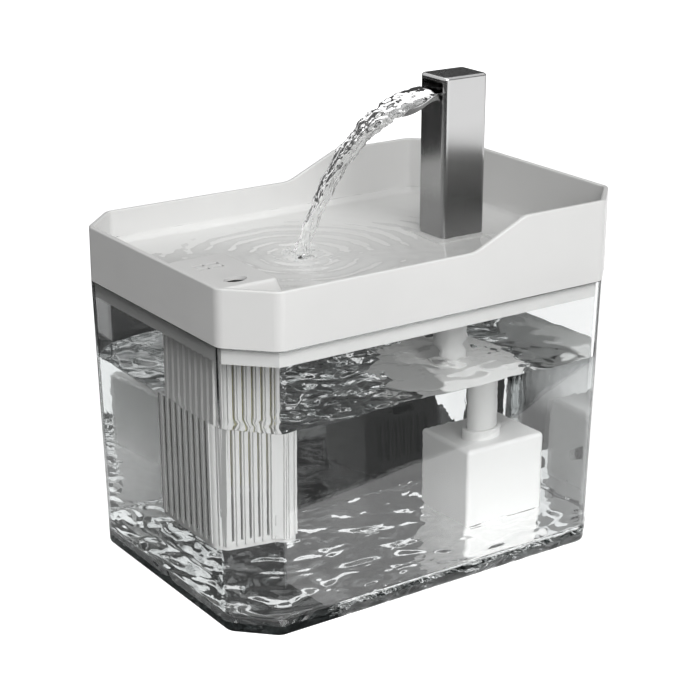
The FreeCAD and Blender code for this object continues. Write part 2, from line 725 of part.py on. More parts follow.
def make_spout_insert():
    """Liner of the column's head: a pocketed block that turns the rising water towards the mouth."""
    body = new_body("spout_insert")
    gap = "2 * (ColumnSheet + InsertGap)"
    outside = new_sketch(body, "InsertOutside", y="ColumnY", up="MouthBottom - InsertDepthBelow")
    rectangle(outside, f"ColumnWidth - {gap}", f"ColumnDepth - {gap}")
    pad(body, outside, "InsertDepthBelow - SeatGap")
    fillet(body, "ColumnEdgeRound - ColumnSheet", lambda p, run: upright(run))
    well = new_sketch(body, "InsertWell", y="ColumnY + LipInside / 2", up="MouthBottom")
    rectangle(well, "ColumnWidth / 2", "ColumnDepth / 2")
    pocket(body, well, "InsertDepthBelow / 2")
    bore = new_sketch(body, "InsertBore", y="ColumnY", up="MouthBottom - InsertDepthBelow - 1")
    circle(bore, "RiserOuter + 2 * PlugGap")
    pocket(body, bore, "InsertDepthBelow / 2 + 1.5", reverse=True)
    return body


def make_plug():
    """Plug that closes the column's foot, with a spigot that pushes into the tray's boss."""
    body = new_body("column_plug")
    gap = "2 * (ColumnSheet + PlugGap)"
    block_outline = new_sketch(body, "PlugOutline", y="ColumnY", up="ColumnFoot")
    rectangle(block_outline, f"ColumnWidth - {gap}", f"ColumnDepth - {gap}")
    pad(body, block_outline, "PlugHeight")
    fillet(body, "ColumnEdgeRound - ColumnSheet", lambda p, run: upright(run))
    spigot = new_sketch(body, "SpigotOutline", y="ColumnY", up="ColumnFoot")
    circle(spigot, "SpigotOuter")
    pad(body, spigot, "SpigotLength", reverse=True)
    groove = new_sketch(body, "SealGroove", y="ColumnY", up="SpigotBottom + SpigotLength / 3")
    circle(groove, "SpigotOuter + 2")
    inner = groove.addGeometry(Part.Circle(Vector(0, 0, 0), Vector(0, 0, 1), 8.0), False)
    groove.addConstraint(Sketcher.Constraint("Coincident", inner, 3, -1, 1))
    dimension(groove, Sketcher.Constraint("Diameter", inner, 16.0),
              "SpigotOuter + 2 * SpigotGap - 2 * SealSection")
    pocket(body, groove, "SealSection * 1.3", reverse=True)
    socket = new_sketch(body, "TubeSocket", y="ColumnY", up="SpigotBottom")
    circle(socket, "SpigotBore")
    pocket(body, socket, "TubeInsert + 1", reverse=True)
    riser = new_sketch(body, "RiserSocket", y="ColumnY", up="SpigotBottom")
    circle(riser, "RiserOuter + 2 * PlugGap")
    pocket(body, riser, "SpigotLength + PlugHeight + 1", reverse=True)
    return body


def make_faucet():
    column = make_column()
    lip = make_lip()
    insert = make_spout_insert()
    plug = make_plug()
    riser_foot = "ColumnFoot + PlugHeight / 3"
    riser = ring("riser_tube", "RiserOuter / 2", "RiserOuter / 2 - RiserWall",
                 f"MouthBottom - 2 * InsertDepthBelow / 3 - ({riser_foot})", y="ColumnY", z=riser_foot)
    seal = torus("column_seal", "SpigotOuter / 2 + SpigotGap - SealSection / 2", "SealSection / 2 - SealEase",
                 "0", "ColumnY", "SpigotBottom + SpigotLength / 3 + SealSection * 0.65")
    return [column, lip, insert, plug, riser, seal]


# Pump: white box with its impeller axis across the tank, drawing water in on the side away from the
# steel column's front and pushing it up the tube

def make_housing():
    body = new_body("pump_housing")
    outside = new_sketch(body, "HousingOutside", x="PumpX", y="PumpY", up="PumpBottom")
    rectangle(outside, "PumpWidth", "PumpLength")
    pad(body, outside, "PumpHeight")
    fillet(body, "PumpEdgeRound", lambda p, run: upright(run))
    fillet(body, "PumpEdgeRound", lambda p, run: abs(p.z - val("PumpTop")) < 0.01)
    middle = "(PumpBottom + PumpTop) / 2"
    cover_seat = new_sketch(body, "CoverSeat", plane="YZ", x="PumpY", y=middle, up="PumpLeft - 1")
    rectangle(cover_seat, "PumpLength + 2", "PumpHeight + 2")
    pocket(body, cover_seat, "CoverSheet + CoverGap + 1", reverse=True)
    bay = new_sketch(body, "PrefilterBay", plane="YZ", x="PumpY", y=middle, up="PumpLeft")
    rectangle(bay, "PumpLength - 2 * PumpWall", "PumpHeight - 2 * PumpWall")
    pocket(body, bay, "VoluteLeft - PumpLeft", reverse=True)
    seat = new_sketch(body, "VoluteSeat", plane="YZ", x="AxisY", y="AxisZ", up="PumpLeft")
    circle(seat, "2 * ChamberRadius + 4")
    pocket(body, seat, "ChamberLeft - PumpLeft + SeatGap / 3", reverse=True)
    chamber = new_sketch(body, "ImpellerChamber", plane="YZ", x="AxisY", y="AxisZ", up="PumpLeft")
    circle(chamber, "2 * ChamberRadius")
    pocket(body, chamber, "ChamberRight - PumpLeft", reverse=True)
    well = new_sketch(body, "RotorWell", plane="YZ", x="AxisY", y="AxisZ", up="PumpLeft")
    circle(well, "2 * WellRadius")
    pocket(body, well, "WellRight - PumpLeft", reverse=True)
    outlet = new_sketch(body, "OutletDuct", x="(ChamberLeft + ChamberRight) / 2", y="ColumnY",
                        up="PumpTop + 1")
    circle(outlet, "DuctBore")
    pocket(body, outlet, "PumpTop - AxisZ - ChamberRadius / 2 + 1")
    collar = new_sketch(body, "TubeSocketRim", y="ColumnY", up="PumpTop - 1")
    circle(collar, "TubeOuter + 2 * TubeSlipGap + 2 * PumpWall")
    pad(body, collar, "SocketRise + 1")
    fillet(body, "PumpWall / 3", lambda p, run: abs(p.z - val("PumpTop") - val("SocketRise")) < 0.01)
    tube_seat = new_sketch(body, "TubeSeat", y="ColumnY", up="PumpTop + SocketRise + 1")
    circle(tube_seat, "TubeOuter + 2 * TubeSlipGap")
    pocket(body, tube_seat, "SocketRise + TubeSeatDepth + 1")
    motor = new_sketch(body, "MotorBay", x="GlandX", y="PumpY", up="PumpBottom")
    rectangle(motor, "PumpRight - PumpWall - MotorLeft", "PumpLength - 2 * PumpWall")
    pocket(body, motor, "PumpHeight - PumpWall - TubeSeatDepth", reverse=True)
    can = new_sketch(body, "RotorCan", plane="YZ", x="AxisY", y="AxisZ", up="MotorLeft - 1")
    circle(can, "2 * CanRadius")
    inner = can.addGeometry(Part.Circle(Vector(0, 0, 0), Vector(0, 0, 1), 5.0), False)
    can.addConstraint(Sketcher.Constraint("Coincident", inner, 3, -1, 1))
    dimension(can, Sketcher.Constraint("Diameter", inner, 10.0), "2 * WellRadius")
    pad(body, can, "WellRight - MotorLeft + 1")
    cap = new_sketch(body, "CanEnd", plane="YZ", x="AxisY", y="AxisZ", up="WellRight")
    circle(cap, "2 * CanRadius")
    pad(body, cap, "CanWall")
    gland = new_sketch(body, "GlandHole", plane="XZ", x="GlandX", y="GlandZ",
                       up="-PumpY - PumpLength / 2 - 1")
    circle(gland, "2 * (GlandRadius + ShaftFit)")
    pocket(body, gland, "PumpWall + 2", reverse=True)
    return body


def make_intake_cover():
    body = new_body("intake_cover")
    middle = "(PumpBottom + PumpTop) / 2"
    plate = new_sketch(body, "CoverPlate", plane="YZ", x="PumpY", y=middle, up="PumpLeft")
    rectangle(plate, "PumpLength", "PumpHeight")
    pad(body, plate, "CoverSheet")
    fillet(body, "PumpEdgeRound", lambda p, run: abs(run.x) > 1)
    lug = new_sketch(body, "CoverLug", plane="YZ", x="PumpY", y=middle, up="CoverInnerFace")
    rectangle(lug, "PumpLength - 2 * PumpWall - 2 * CoverGap", "PumpHeight - 2 * PumpWall - 2 * CoverGap")
    pad(body, lug, "PumpWall")
    hollow = new_sketch(body, "CoverHollow", plane="YZ", x="PumpY", y=middle, up="CoverInnerFace")
    rectangle(hollow, "PumpLength - 4 * PumpWall - 2 * CoverGap",
              "PumpHeight - 4 * PumpWall - 2 * CoverGap")
    pocket(body, hollow, "PumpWall", reverse=True)
    span = "CoverSlotPitch * (CoverSlotCount - 1)"
    slot = new_sketch(body, "IntakeSlot", plane="YZ", x=f"PumpY - {span} / 2",
                      y="PumpBottom + CoverSlotRise", up="PumpLeft - 1")
    rectangle(slot, "CoverSlotWidth", "CoverSlotHeight")
    first = pocket(body, slot, "CoverSheet + 2", reverse=True)
    pattern(body, first, "Y_Axis", span, "CoverSlotCount")
    track = new_sketch(body, "SliderTrack", plane="YZ", x="PumpY", y="SliderZ", up="PumpLeft - 1")
    rectangle(track, "SliderLength + SliderTravel", "SliderWidth + 2 * SliderGap")
    pocket(body, track, "CoverSheet + 2", reverse=True)
    return body


def make_impeller():
    """Radial vanes and their backing disc on a hub."""
    body = new_body("impeller")
    back = "ChamberRight - SeatGap * 2 - BladeSheet"
    plate = new_sketch(body, "BladePlate", plane="YZ", x="AxisY", y="AxisZ", up=back)
    circle(plate, "2 * BladeRadius")
    pad(body, plate, "BladeSheet")
    hub = new_sketch(body, "ImpellerHub", plane="YZ", x="AxisY", y="AxisZ", up=back)
    circle(hub, "2 * BushRadius")
    pad(body, hub, "BladeHeight", reverse=True)
    vane = new_sketch(body, "ImpellerVane", plane="YZ", x="AxisY", y="AxisZ", up=back)
    root, end, half = 2.4, 9.5, 0.7
    points = [(root, -half), (end, -half), (end, half), (root, half)]
    low, tip, _, foot = closed_path(vane, points)
    vane.addConstraint(Sketcher.Constraint("Horizontal", low))
    vane.addConstraint(Sketcher.Constraint("Symmetric", foot, 1, foot, 2, -1))
    vane.addConstraint(Sketcher.Constraint("Symmetric", tip, 1, tip, 2, -1))
    dimension(vane, Sketcher.Constraint("DistanceX", -1, 1, low, 1, root), "VaneRoot")
    dimension(vane, Sketcher.Constraint("DistanceX", -1, 1, low, 2, end), "VaneTip")
    dimension(vane, Sketcher.Constraint("DistanceY", foot, 2, foot, 1, 2 * half), "BladeSheet")
    blade = pad(body, vane, "BladeHeight", reverse=True)
    doc.recompute()
    origin_axis = new_sketch(body, "ImpellerAxis", plane="YZ", x="AxisY", y="AxisZ")
    fan = body.newObject("PartDesign::PolarPattern", "ImpellerVanes")
    fan.Originals = [blade]
    fan.Axis = (origin_axis, ["N_Axis"])
    fan.Angle = 360
    bind(fan, Occurrences="BladeCount")
    body.Tip = fan
    doc.recompute()
    bore = new_sketch(body, "ImpellerBore", plane="YZ", x="AxisY", y="AxisZ", up="ChamberLeft - 1")
    circle(bore, "2 * (ShaftRadius + ShaftFit)")
    pocket(body, bore, "ChamberDepth + 4", reverse=True)
    return body


def make_pump():
    housing = make_housing()
    cover = make_intake_cover()
    impeller = make_impeller()
    rotor_x = "ChamberRight - SeatGap"
    rotor = ring("rotor_magnet", "RotorRadius", "ShaftRadius + ShaftFit", "RotorLength",
                 rotor_x, "AxisY", "AxisZ", ALONG_X)
    sheet = "VoluteSheet - ShaftFit"
    volute = ring("VoluteDisc", "ChamberRadius + 2 - ShaftFit * 2", "EyeRadius", sheet,
                  "VoluteLeft", "AxisY", "AxisZ", ALONG_X)
    spoke = block("VoluteSpoke", sheet, "2 * EyeRadius + 1", "SpokeWidth",
                  f"VoluteLeft + ({sheet}) / 2", "AxisY", "AxisZ - SpokeWidth / 2")
    volute = fuse("VoluteSpoked", volute, spoke)
    socket = cylinder("VoluteSocket", "BushRadius + ShaftFit", "VoluteSheet + 2",
                      "VoluteLeft - 1", "AxisY", "AxisZ", ALONG_X)
    cup = ring("VoluteCup", "BushRadius + SocketWall", "BushRadius + ShaftFit", sheet,
               "VoluteLeft", "AxisY", "AxisZ", ALONG_X)
    volute = fuse("volute_cover", cut("VoluteOpened", volute, socket), cup)
    front_bush = ring("front_bush", "BushRadius", "ShaftRadius + ShaftFit", "BushLength",
                      "ChamberLeft - BushLength", "AxisY", "AxisZ", ALONG_X)
    rear_bush = ring("rear_bush", "WellRadius - ShaftFit", "ShaftRadius + ShaftFit", "BushLength",
                     "WellRight - BushLength", "AxisY", "AxisZ", ALONG_X)
    shaft = cylinder("impeller_shaft", "ShaftRadius", "WellRight - ChamberLeft + BushLength - SeatGap",
                     "ChamberLeft - BushLength", "AxisY", "AxisZ", ALONG_X)
    shaft.Label = "impeller_shaft"
    thickness = "PrefilterDepth - CoverGap - PumpWall - BushLength"
    prefilter = block("PrefilterBlock", thickness, "PumpLength - 4 * PumpWall", "PumpHeight - 4 * PumpWall",
                      f"PrefilterLeft + PumpWall + ({thickness}) / 2", "PumpY", "PumpBottom + 2 * PumpWall")
    prefilter = rounded("prefilter_sponge", prefilter, "SpongeRound", lambda p, run: abs(run.x) > 1)
    core = make_core()
    coil = make_coil()
    potting = block("potting_cover", "PumpRight - PumpWall - MotorLeft - 2 * PottingGap",
                    "PumpLength - 2 * PumpWall - 2 * PottingGap", "PottingSheet", "GlandX", "PumpY", "PumpBottom")
    potting.Label = "potting_cover"
    cups = []
    for number, (side_x, side_y) in enumerate(((-1, -1), (1, -1), (1, 1), (-1, 1)), start=1):
        x = f"PumpX + {side_x} * (PumpWidth / 2 - CupInset)"
        y = f"PumpY + {side_y} * (PumpLength / 2 - CupInset)"
        bell = doc.addObject("Part::Cone", f"CupBell{number}")
        bind(bell, Radius1="CupRadius", Radius2="CupRadius / 3", Height="CupHeight - SeatGap * 2")
        place(bell, x, y, "TankFloor + SeatGap")
        hollow = doc.addObject("Part::Cone", f"CupHollow{number}")
        bind(hollow, Radius1="CupRadius - CupLip", Radius2="CupLip / 2", Height="CupHeight / 2")
        place(hollow, x, y, "TankFloor + SeatGap")
        cups.append(cut(f"SuctionCup{number}", bell, hollow))
    cups = group("suction_cups", cups)
    tube_z = "PumpTop - TubeSeatDepth"
    tube = ring("outlet_tube", "TubeOuter / 2", "TubeOuter / 2 - TubeWall", f"TubeTop - ({tube_z})",
                "0", "ColumnY", tube_z)
    gland = ring("cable_gland", "GlandRadius", "GlandBore", "GlandLength",
                 "GlandX", "PumpY + PumpLength / 2 - 1.5 * PumpWall", "GlandZ", ALONG_Y)
    slider = make_slider()
    return [housing, cover, impeller, rotor, volute, front_bush, rear_bush, shaft, prefilter, core, coil,
            potting, cups, tube, gland, slider]


def make_core():
    """U-shaped stack of laminations: a yoke under the rotor can and a leg each side of it."""
    reach = "CanRadius + CoverGap"
    yoke = block("CoreYoke", "CoreStack", f"2 * ({reach} + CoreLeg)", "CoreLeg", "GlandX", "AxisY", "CoreFoot")
    legs = []
    for number, side in enumerate((-1, 1), start=1):
        legs.append(block(f"CoreLegBlock{number}", "CoreStack", "CoreLeg", "AxisZ + CanRadius / 2 - CoreFoot",
                          "GlandX", f"AxisY + {side} * ({reach} + CoreLeg / 2)", "CoreFoot"))
    return fuse("stator_core", yoke, *legs)


def make_coil():
    """Winding round the middle of the yoke."""
    room = "2 * CoilGap"
    winding = block("CoilWinding", f"CoreStack + {room} + 2 * CoilSheet", "CoilLength",
                    f"CoreLeg + {room} + 2 * CoilSheet", "GlandX", "AxisY", "CoreFoot - CoilGap - CoilSheet")
    window = block("CoilWindow", f"CoreStack + {room}", "CoilLength + 2", f"CoreLeg + {room}",
                   "GlandX", "AxisY", "CoreFoot - CoilGap")
    winding = rounded("CoilRounded", winding, "CoilSheet", lambda p, run: abs(run.y) > 1)
    return cut("stator_coil", winding, window)


def make_slider():
    """Flow control: a tab in the cover's track, on a wider shoe that runs behind the cover."""
    depth = "CoverSheet + CoverGap + SliderShoe + SliderProud"
    tab = block("SliderTab", depth, "SliderLength", "SliderWidth",
                f"PumpLeft - SliderProud + ({depth}) / 2", "PumpY", "SliderZ - SliderWidth / 2")
    shoe = block("SliderShoe", "SliderShoe", "SliderLength + 2", "SliderWidth + 4 * SliderGap + 2",
                 "CoverInnerFace + CoverGap + SliderShoe / 2", "PumpY",
                 "SliderZ - SliderWidth / 2 - 2 * SliderGap - 1")
    return fuse("flow_slider", tab, shoe)


# Filter: ribbed basket hung in the tray's opening, with its media and a drain cap

def make_basket():
    body = new_body("filter_basket")
    outside = new_sketch(body, "BasketOutside", x="BasketX", y="BasketY", up="BasketFoot")
    rectangle(outside, "BasketWidth", "BasketDepth")
    pad(body, outside, "FlangeTop - BasketFoot")
    fillet(body, "BasketRound", lambda p, run: upright(run))
    flange = new_sketch(body, "BasketFlange", x="BasketX", y="BasketY", up="FlangeSeat")
    rectangle(flange, "OpeningWidth + 2 * CoamingWall", "OpeningDepth + 2 * CoamingWall")
    pad(body, flange, "FlangeSheet")
    rib_foot = "BasketFoot + BasketFloor"
    rib_height = "FlangeSeat - BasketBand - BasketFoot - BasketFloor"
    span_x = "RibPitch * (RibCount - 1)"
    span_y = "RibPitchSide * (RibCountSide - 1)"
    rib = new_sketch(body, "LongSideRib", x=f"BasketX - {span_x} / 2", y="BasketY", up=rib_foot)
    rectangle(rib, "RibWidth", "BasketDepth + 2 * RibDepth")
    pattern(body, pad(body, rib, rib_height), "X_Axis", span_x, "RibCount")
    rib = new_sketch(body, "ShortSideRib", x="BasketX", y=f"BasketY - {span_y} / 2", up=rib_foot)
    rectangle(rib, "BasketWidth + 2 * RibDepth", "RibWidth")
    pattern(body, pad(body, rib, rib_height), "Y_Axis", span_y, "RibCountSide")
    inside = new_sketch(body, "BasketInside", x="BasketX", y="BasketY", up="BasketFoot + BasketFloor")
    rectangle(inside, "BasketWidth - 2 * BasketWall", "BasketDepth - 2 * BasketWall")
    pocket(body, inside, "FlangeTop - BasketFoot", reverse=True)
    slit = new_sketch(body, "LongSideSlit", plane="XZ", x=f"BasketX - {span_x} / 2 + RibPitch / 2",
                      y="BasketFoot + BasketFloor + SlitHeight / 2 + 2", up="-BasketY - BasketDepth / 2 - 2")
    rectangle(slit, "SlitWidth", "SlitHeight")
    first = pocket(body, slit, "BasketDepth + 4", reverse=True)
    pattern(body, first, "X_Axis", f"{span_x} - RibPitch", "RibCount - 1")
    slit = new_sketch(body, "ShortSideSlit", plane="YZ", x=f"BasketY - {span_y} / 2 + RibPitchSide / 2",
                      y="BasketFoot + BasketFloor + SlitHeight / 2 + 2", up="BasketX - BasketWidth / 2 - 2")
    rectangle(slit, "SlitWidth", "SlitHeight")
    first = pocket(body, slit, "BasketWidth + 4", reverse=True)
    pattern(body, first, "Y_Axis", f"{span_y} - RibPitchSide", "RibCountSide - 1")
    return body


def make_cap():
    """Raised drain cap: two slots with a bar across them, a leaf-shaped finger hole and windows all round."""
    body = new_body("drain_cap")
    foot = "FlangeTop + SeatGap"
    height = f"CapTop - ({foot})"
    outside = new_sketch(body, "CapOutside", x="BasketX", y="BasketY", up="CapTop")
    rectangle(outside, "OpeningWidth - 2 * CapTaper", "OpeningDepth - 2 * CapTaper")
    flare(pad(body, outside, height, reverse=True), f"atan(CapTaper / ({height}))")
    fillet(body, "CapRound", lambda p, run: abs(run.z) > 3)
    fillet(body, "CapSheet", lambda p, run: abs(p.z - val("CapTop")) < 0.01)
    inside = new_sketch(body, "CapInside", x="BasketX", y="BasketY", up=foot)
    rectangle(inside, "OpeningWidth - 2 * CapTaper - 2 * CapSheet",
              "OpeningDepth - 2 * CapTaper - 2 * CapSheet")
    pocket(body, inside, f"{height} - CapSheet", reverse=True)
    for number, side in enumerate((-1, 1), start=1):
        for half in (-1, 1):
            slot = new_sketch(body, f"DrainSlot{number}{'AB'[half > 0]}",
                              x=f"BasketX - CapSlotOffset + {side} * CapSlotPitch / 2",
                              y=f"BasketY - CapHoleShift + {half} * (CapSlotLength + CapBar) / 4",
                              up="CapTop + 1")
            rectangle(slot, "CapSlotWidth", "(CapSlotLength - CapBar) / 2")
            pocket(body, slot, "CapSheet + 2")
    leaf = new_sketch(body, "FingerHole", x="BasketX + FingerOffset", y="BasketY - CapHoleShift",
                      up="CapTop + 1")
    length, width = val("FingerLength") / 2, val("FingerWidth") / 2
    low, high = Vector(0, -length, 0), Vector(0, length, 0)
    right = leaf.addGeometry(Part.Arc(low, Vector(width, 0, 0), high), False)
    left = leaf.addGeometry(Part.Arc(high, Vector(-width, 0, 0), low), False)
    leaf.addConstraint(Sketcher.Constraint("Coincident", right, 2, left, 1))
    leaf.addConstraint(Sketcher.Constraint("Coincident", left, 2, right, 1))
    leaf.addConstraint(Sketcher.Constraint("Symmetric", right, 1, right, 2, -1, 1))
    leaf.addConstraint(Sketcher.Constraint("PointOnObject", right, 2, -2))
    leaf.addConstraint(Sketcher.Constraint("Equal", right, left))
    dimension(leaf, Sketcher.Constraint("DistanceY", right, 1, right, 2, 2 * length), "FingerLength")
    dimension(leaf, Sketcher.Constraint("Radius", right, (length ** 2 + width ** 2) / (2 * width)),
              "(FingerLength ^ 2 + FingerWidth ^ 2) / (4 * FingerWidth)")
    pocket(body, leaf, "CapSheet + 2")
    span = "WindowPitch * (WindowCount - 1)"
    window = new_sketch(body, "CapWindow", plane="XZ", x=f"BasketX - {span} / 2", y=f"{foot} + WindowHeight / 2 - 0.5",
                        up="-BasketY - OpeningDepth / 2 - 1")
    rectangle(window, "WindowWidth", "WindowHeight + 1")
    first = pocket(body, window, "OpeningDepth + 2", reverse=True)
    pattern(body, first, "X_Axis", span, "WindowCount")
    return body


def make_media():
    """Sponge block above a sachet of carbon, parted by a slotted grid."""
    width = "BasketWidth - 2 * BasketWall"
    depth = "BasketDepth - 2 * BasketWall"
    sponge = block("SpongeBlock", f"{width} - 2 * SpongeGap", f"{depth} - 2 * SpongeGap", "SpongeHeight",
                   "BasketX", "BasketY", "SpongeBottom")
    sponge = rounded("filter_sponge", sponge, "SpongeRound", lambda p, run: abs(run.z) > 5)
    pack = block("PackBlock", f"{width} - 2 * SpongeGap", f"{depth} - 2 * SpongeGap", "PackHeight",
                 "BasketX", "BasketY", "PackBottom")
    pack = rounded("carbon_pack", pack, "BasketRound", lambda p, run: abs(run.z) < 1)
    plate = block("GridPlate", f"{width} - 2 * CoverGap", f"{depth} - 2 * CoverGap", "GridSheet",
                  "BasketX", "BasketY", "GridBottom")
    bars = []
    for number in range(int(val("GridCount"))):
        bars.append(block(f"GridSlot{number}", "GridSlotWidth", f"{depth} - 2 * GridMargin", "GridSheet + 2",
                          f"BasketX + GridPitch * ({number} - (GridCount - 1) / 2)", "BasketY", "GridBottom - 1"))
    grid = cut("media_grid", plate, *bars)
    return [sponge, pack, grid]


def make_grommet():
    """Rubber grommet that fills the cable notch in the tank's rear rim, flush with the outside."""
    depth = "TankWall + GrommetLip - GrommetInset"
    y = f"TankLength / 2 - GrommetInset - ({depth}) / 2"
    plug = block("GrommetBlock", "NotchWidth - 2 * GrommetGap", depth, "NotchDepth - 2 * GrommetGap",
                 "0", y, "TankHeight - NotchDepth + GrommetGap")
    plug = rounded("GrommetRounded", plug, "GrommetRound",
                   lambda p, run: abs(run.y) > 1 and p.z < val("TankHeight") - val("NotchDepth") / 2)
    bore = cylinder("GrommetBore", "GlandBore", f"{depth} + 2", "0", f"{y} - ({depth}) / 2 - 1",
                    "TankHeight - NotchDepth / 2", ALONG_Y)
    return cut("cable_grommet", plug, bore)


def export(nodes):
    """Checks every object, then writes one STEP file per node."""
    doc.recompute()
    for item in doc.Objects:
        if "Invalid" in item.State or "Error" in item.State:
            raise RuntimeError(item.Name + " failed: " + str(item.State))
    for node in nodes:
        shape = node.Shape
        if shape.isNull() or not shape.isValid() or not shape.Solids:
            raise RuntimeError(node.Label + " has no valid solid")
        shape.exportStep(f"parts/{node.Label}.step")
        print(f"{node.Label}: {len(shape.Solids)} solid, {shape.Volume:.0f} mm3, {len(shape.Faces)} faces")


nodes = [make_tank(), make_tray(), make_grommet()]
nodes += make_faucet()
nodes += make_pump()
nodes += [make_basket(), make_cap()]
nodes += make_media()
export(nodes)
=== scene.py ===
import json
import math

import bpy
import numpy as np
from mathutils import Matrix, Vector, noise


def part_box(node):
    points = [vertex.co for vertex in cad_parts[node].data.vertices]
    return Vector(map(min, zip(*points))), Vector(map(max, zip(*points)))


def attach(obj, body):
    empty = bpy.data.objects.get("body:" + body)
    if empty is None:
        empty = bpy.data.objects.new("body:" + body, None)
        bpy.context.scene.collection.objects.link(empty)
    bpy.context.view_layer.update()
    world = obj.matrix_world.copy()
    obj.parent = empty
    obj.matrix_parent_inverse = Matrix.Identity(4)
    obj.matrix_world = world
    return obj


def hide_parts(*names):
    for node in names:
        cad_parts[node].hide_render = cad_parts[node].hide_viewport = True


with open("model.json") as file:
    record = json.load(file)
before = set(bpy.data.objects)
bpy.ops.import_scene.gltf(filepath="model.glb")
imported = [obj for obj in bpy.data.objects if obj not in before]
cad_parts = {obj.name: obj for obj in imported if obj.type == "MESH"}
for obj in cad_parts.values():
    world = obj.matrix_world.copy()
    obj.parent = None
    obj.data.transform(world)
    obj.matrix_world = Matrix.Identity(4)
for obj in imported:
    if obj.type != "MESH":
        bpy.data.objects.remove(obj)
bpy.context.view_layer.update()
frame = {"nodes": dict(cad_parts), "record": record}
nodes = frame["nodes"]

MM = 0.001

# Sizes repeated from the solids, in millimetres. TANK_X and TANK_Y are half the width and half the length
TANK_X, TANK_Y, TANK_CORNER, TANK_TAPER, TANK_TOP = 78.4, 110.0, 19.6, 3.3, 137.3
TANK_WALL = 2.6
TRAY_WALL, DECK = 2.4, 140.2

# How much the corner cut of an octagon shrinks for each millimetre that its sides move in
CUT = 2 - math.sqrt(2)

# Water, in millimetres: the mean heights of its tops and of its foot in the tank, how far it overlaps the
# walls, the radii of its corners, and where the jet meets the tray's water
TANK_WATER, TRAY_WATER, FOOT_Z = 99.0, 151.0, 8.6
SKIN = 0.3
TANK_ROUND, TRAY_ROUND = 4.4, 2.2
IMPACT = Vector((0.0, -29.3))

# Stage, in metres. The floor lies below the object, and the cards on it a little above it
FLOOR_Z, CARD_Z, SPOT_Z = -0.0004, -0.0002, -0.0001
FLOOR_HALF = 4.0
LAMP_AIM = (0, 0, 0.1)

# The floor's own glow near the object, the distances between which it grows to full white, and the strength
# of the world as plain light
FLOOR_GLOW = 0.82
GLOW_REACH = (0.3, 1.0)
WORLD_LIGHT = 0.12


# Node helpers

def new_material(name):
    mat = bpy.data.materials.new(name)
    mat.use_nodes = True
    tree = mat.node_tree
    shader = next(n for n in tree.nodes if n.type == "BSDF_PRINCIPLED")
    return mat, tree, shader


def add(tree, kind, **values):
    node = tree.nodes.new(kind)
    for key, value in values.items():
        if key in node.inputs:
            node.inputs[key].default_value = value
        else:
            setattr(node, key, value)
    return node


def join(tree, source, output, target, socket):
    tree.links.new(source.outputs[output], target.inputs[socket])


def rgba(tone):
    return (*tone, 1) if isinstance(tone, tuple) else (tone, tone, tone, 1)


def object_noise(tree, scale, detail=3.0, stretch=(1, 1, 1)):
    """Noise in the object's own coordinates, which are metres in the shared frame."""
    coord = add(tree, "ShaderNodeTexCoord")
    mapping = add(tree, "ShaderNodeMapping")
    mapping.inputs["Scale"].default_value = stretch
    tex = add(tree, "ShaderNodeTexNoise", Scale=scale, Detail=detail)
    join(tree, coord, "Object", mapping, "Vector")
    join(tree, mapping, "Vector", tex, "Vector")
    return tex


def ramp(tree, source, output, low, high, start=0.0, end=1.0):
    node = add(tree, "ShaderNodeValToRGB")
    node.color_ramp.elements[0].position = start
    node.color_ramp.elements[1].position = end
    node.color_ramp.elements[0].color = rgba(low)
    node.color_ramp.elements[1].color = rgba(high)
    join(tree, source, output, node, "Fac")
    return node


def map_range(tree, source, output, span, target, **values):
    """Maps an output of source from the two values of span to the two values of target."""
    node = add(tree, "ShaderNodeMapRange", **values)
    for socket, value in zip(("From Min", "From Max", "To Min", "To Max"), (*span, *target)):
        node.inputs[socket].default_value = value
    join(tree, source, output, node, "Value")
    return node


def height_of(tree):
    """A node whose Z output is the height in the object's own coordinates."""
    coord = add(tree, "ShaderNodeTexCoord")
    axes = add(tree, "ShaderNodeSeparateXYZ")
    join(tree, coord, "Object", axes, "Vector")
    return axes


def output_of(tree):
    return next(n for n in tree.nodes if n.type == "OUTPUT_MATERIAL")


def bump(tree, shader, source, output, strength, distance):
    node = add(tree, "ShaderNodeBump", Strength=strength, Distance=distance)
    join(tree, source, output, node, "Height")
    join(tree, node, "Normal", shader, "Normal")


def moulded(name, low, high, roughness, grain=1800.0, depth=0.00002, coat=0.0, strength=0.25):
    """Moulded plastic or rubber: a faint colour drift and a fine surface grain."""
    mat, tree, shader = new_material(name)
    tone = ramp(tree, object_noise(tree, 18.0), "Fac", low, high, 0.3, 0.7)
    join(tree, tone, "Color", shader, "Base Color")
    rough = ramp(tree, object_noise(tree, 60.0), "Fac", roughness - 0.04, roughness + 0.04, 0.3, 0.7)
    join(tree, rough, "Color", shader, "Roughness")
    shader.inputs["Coat Weight"].default_value = coat
    shader.inputs["Coat Roughness"].default_value = 0.08
    bump(tree, shader, object_noise(tree, grain, 2.0), "Fac", strength, depth)
    return mat


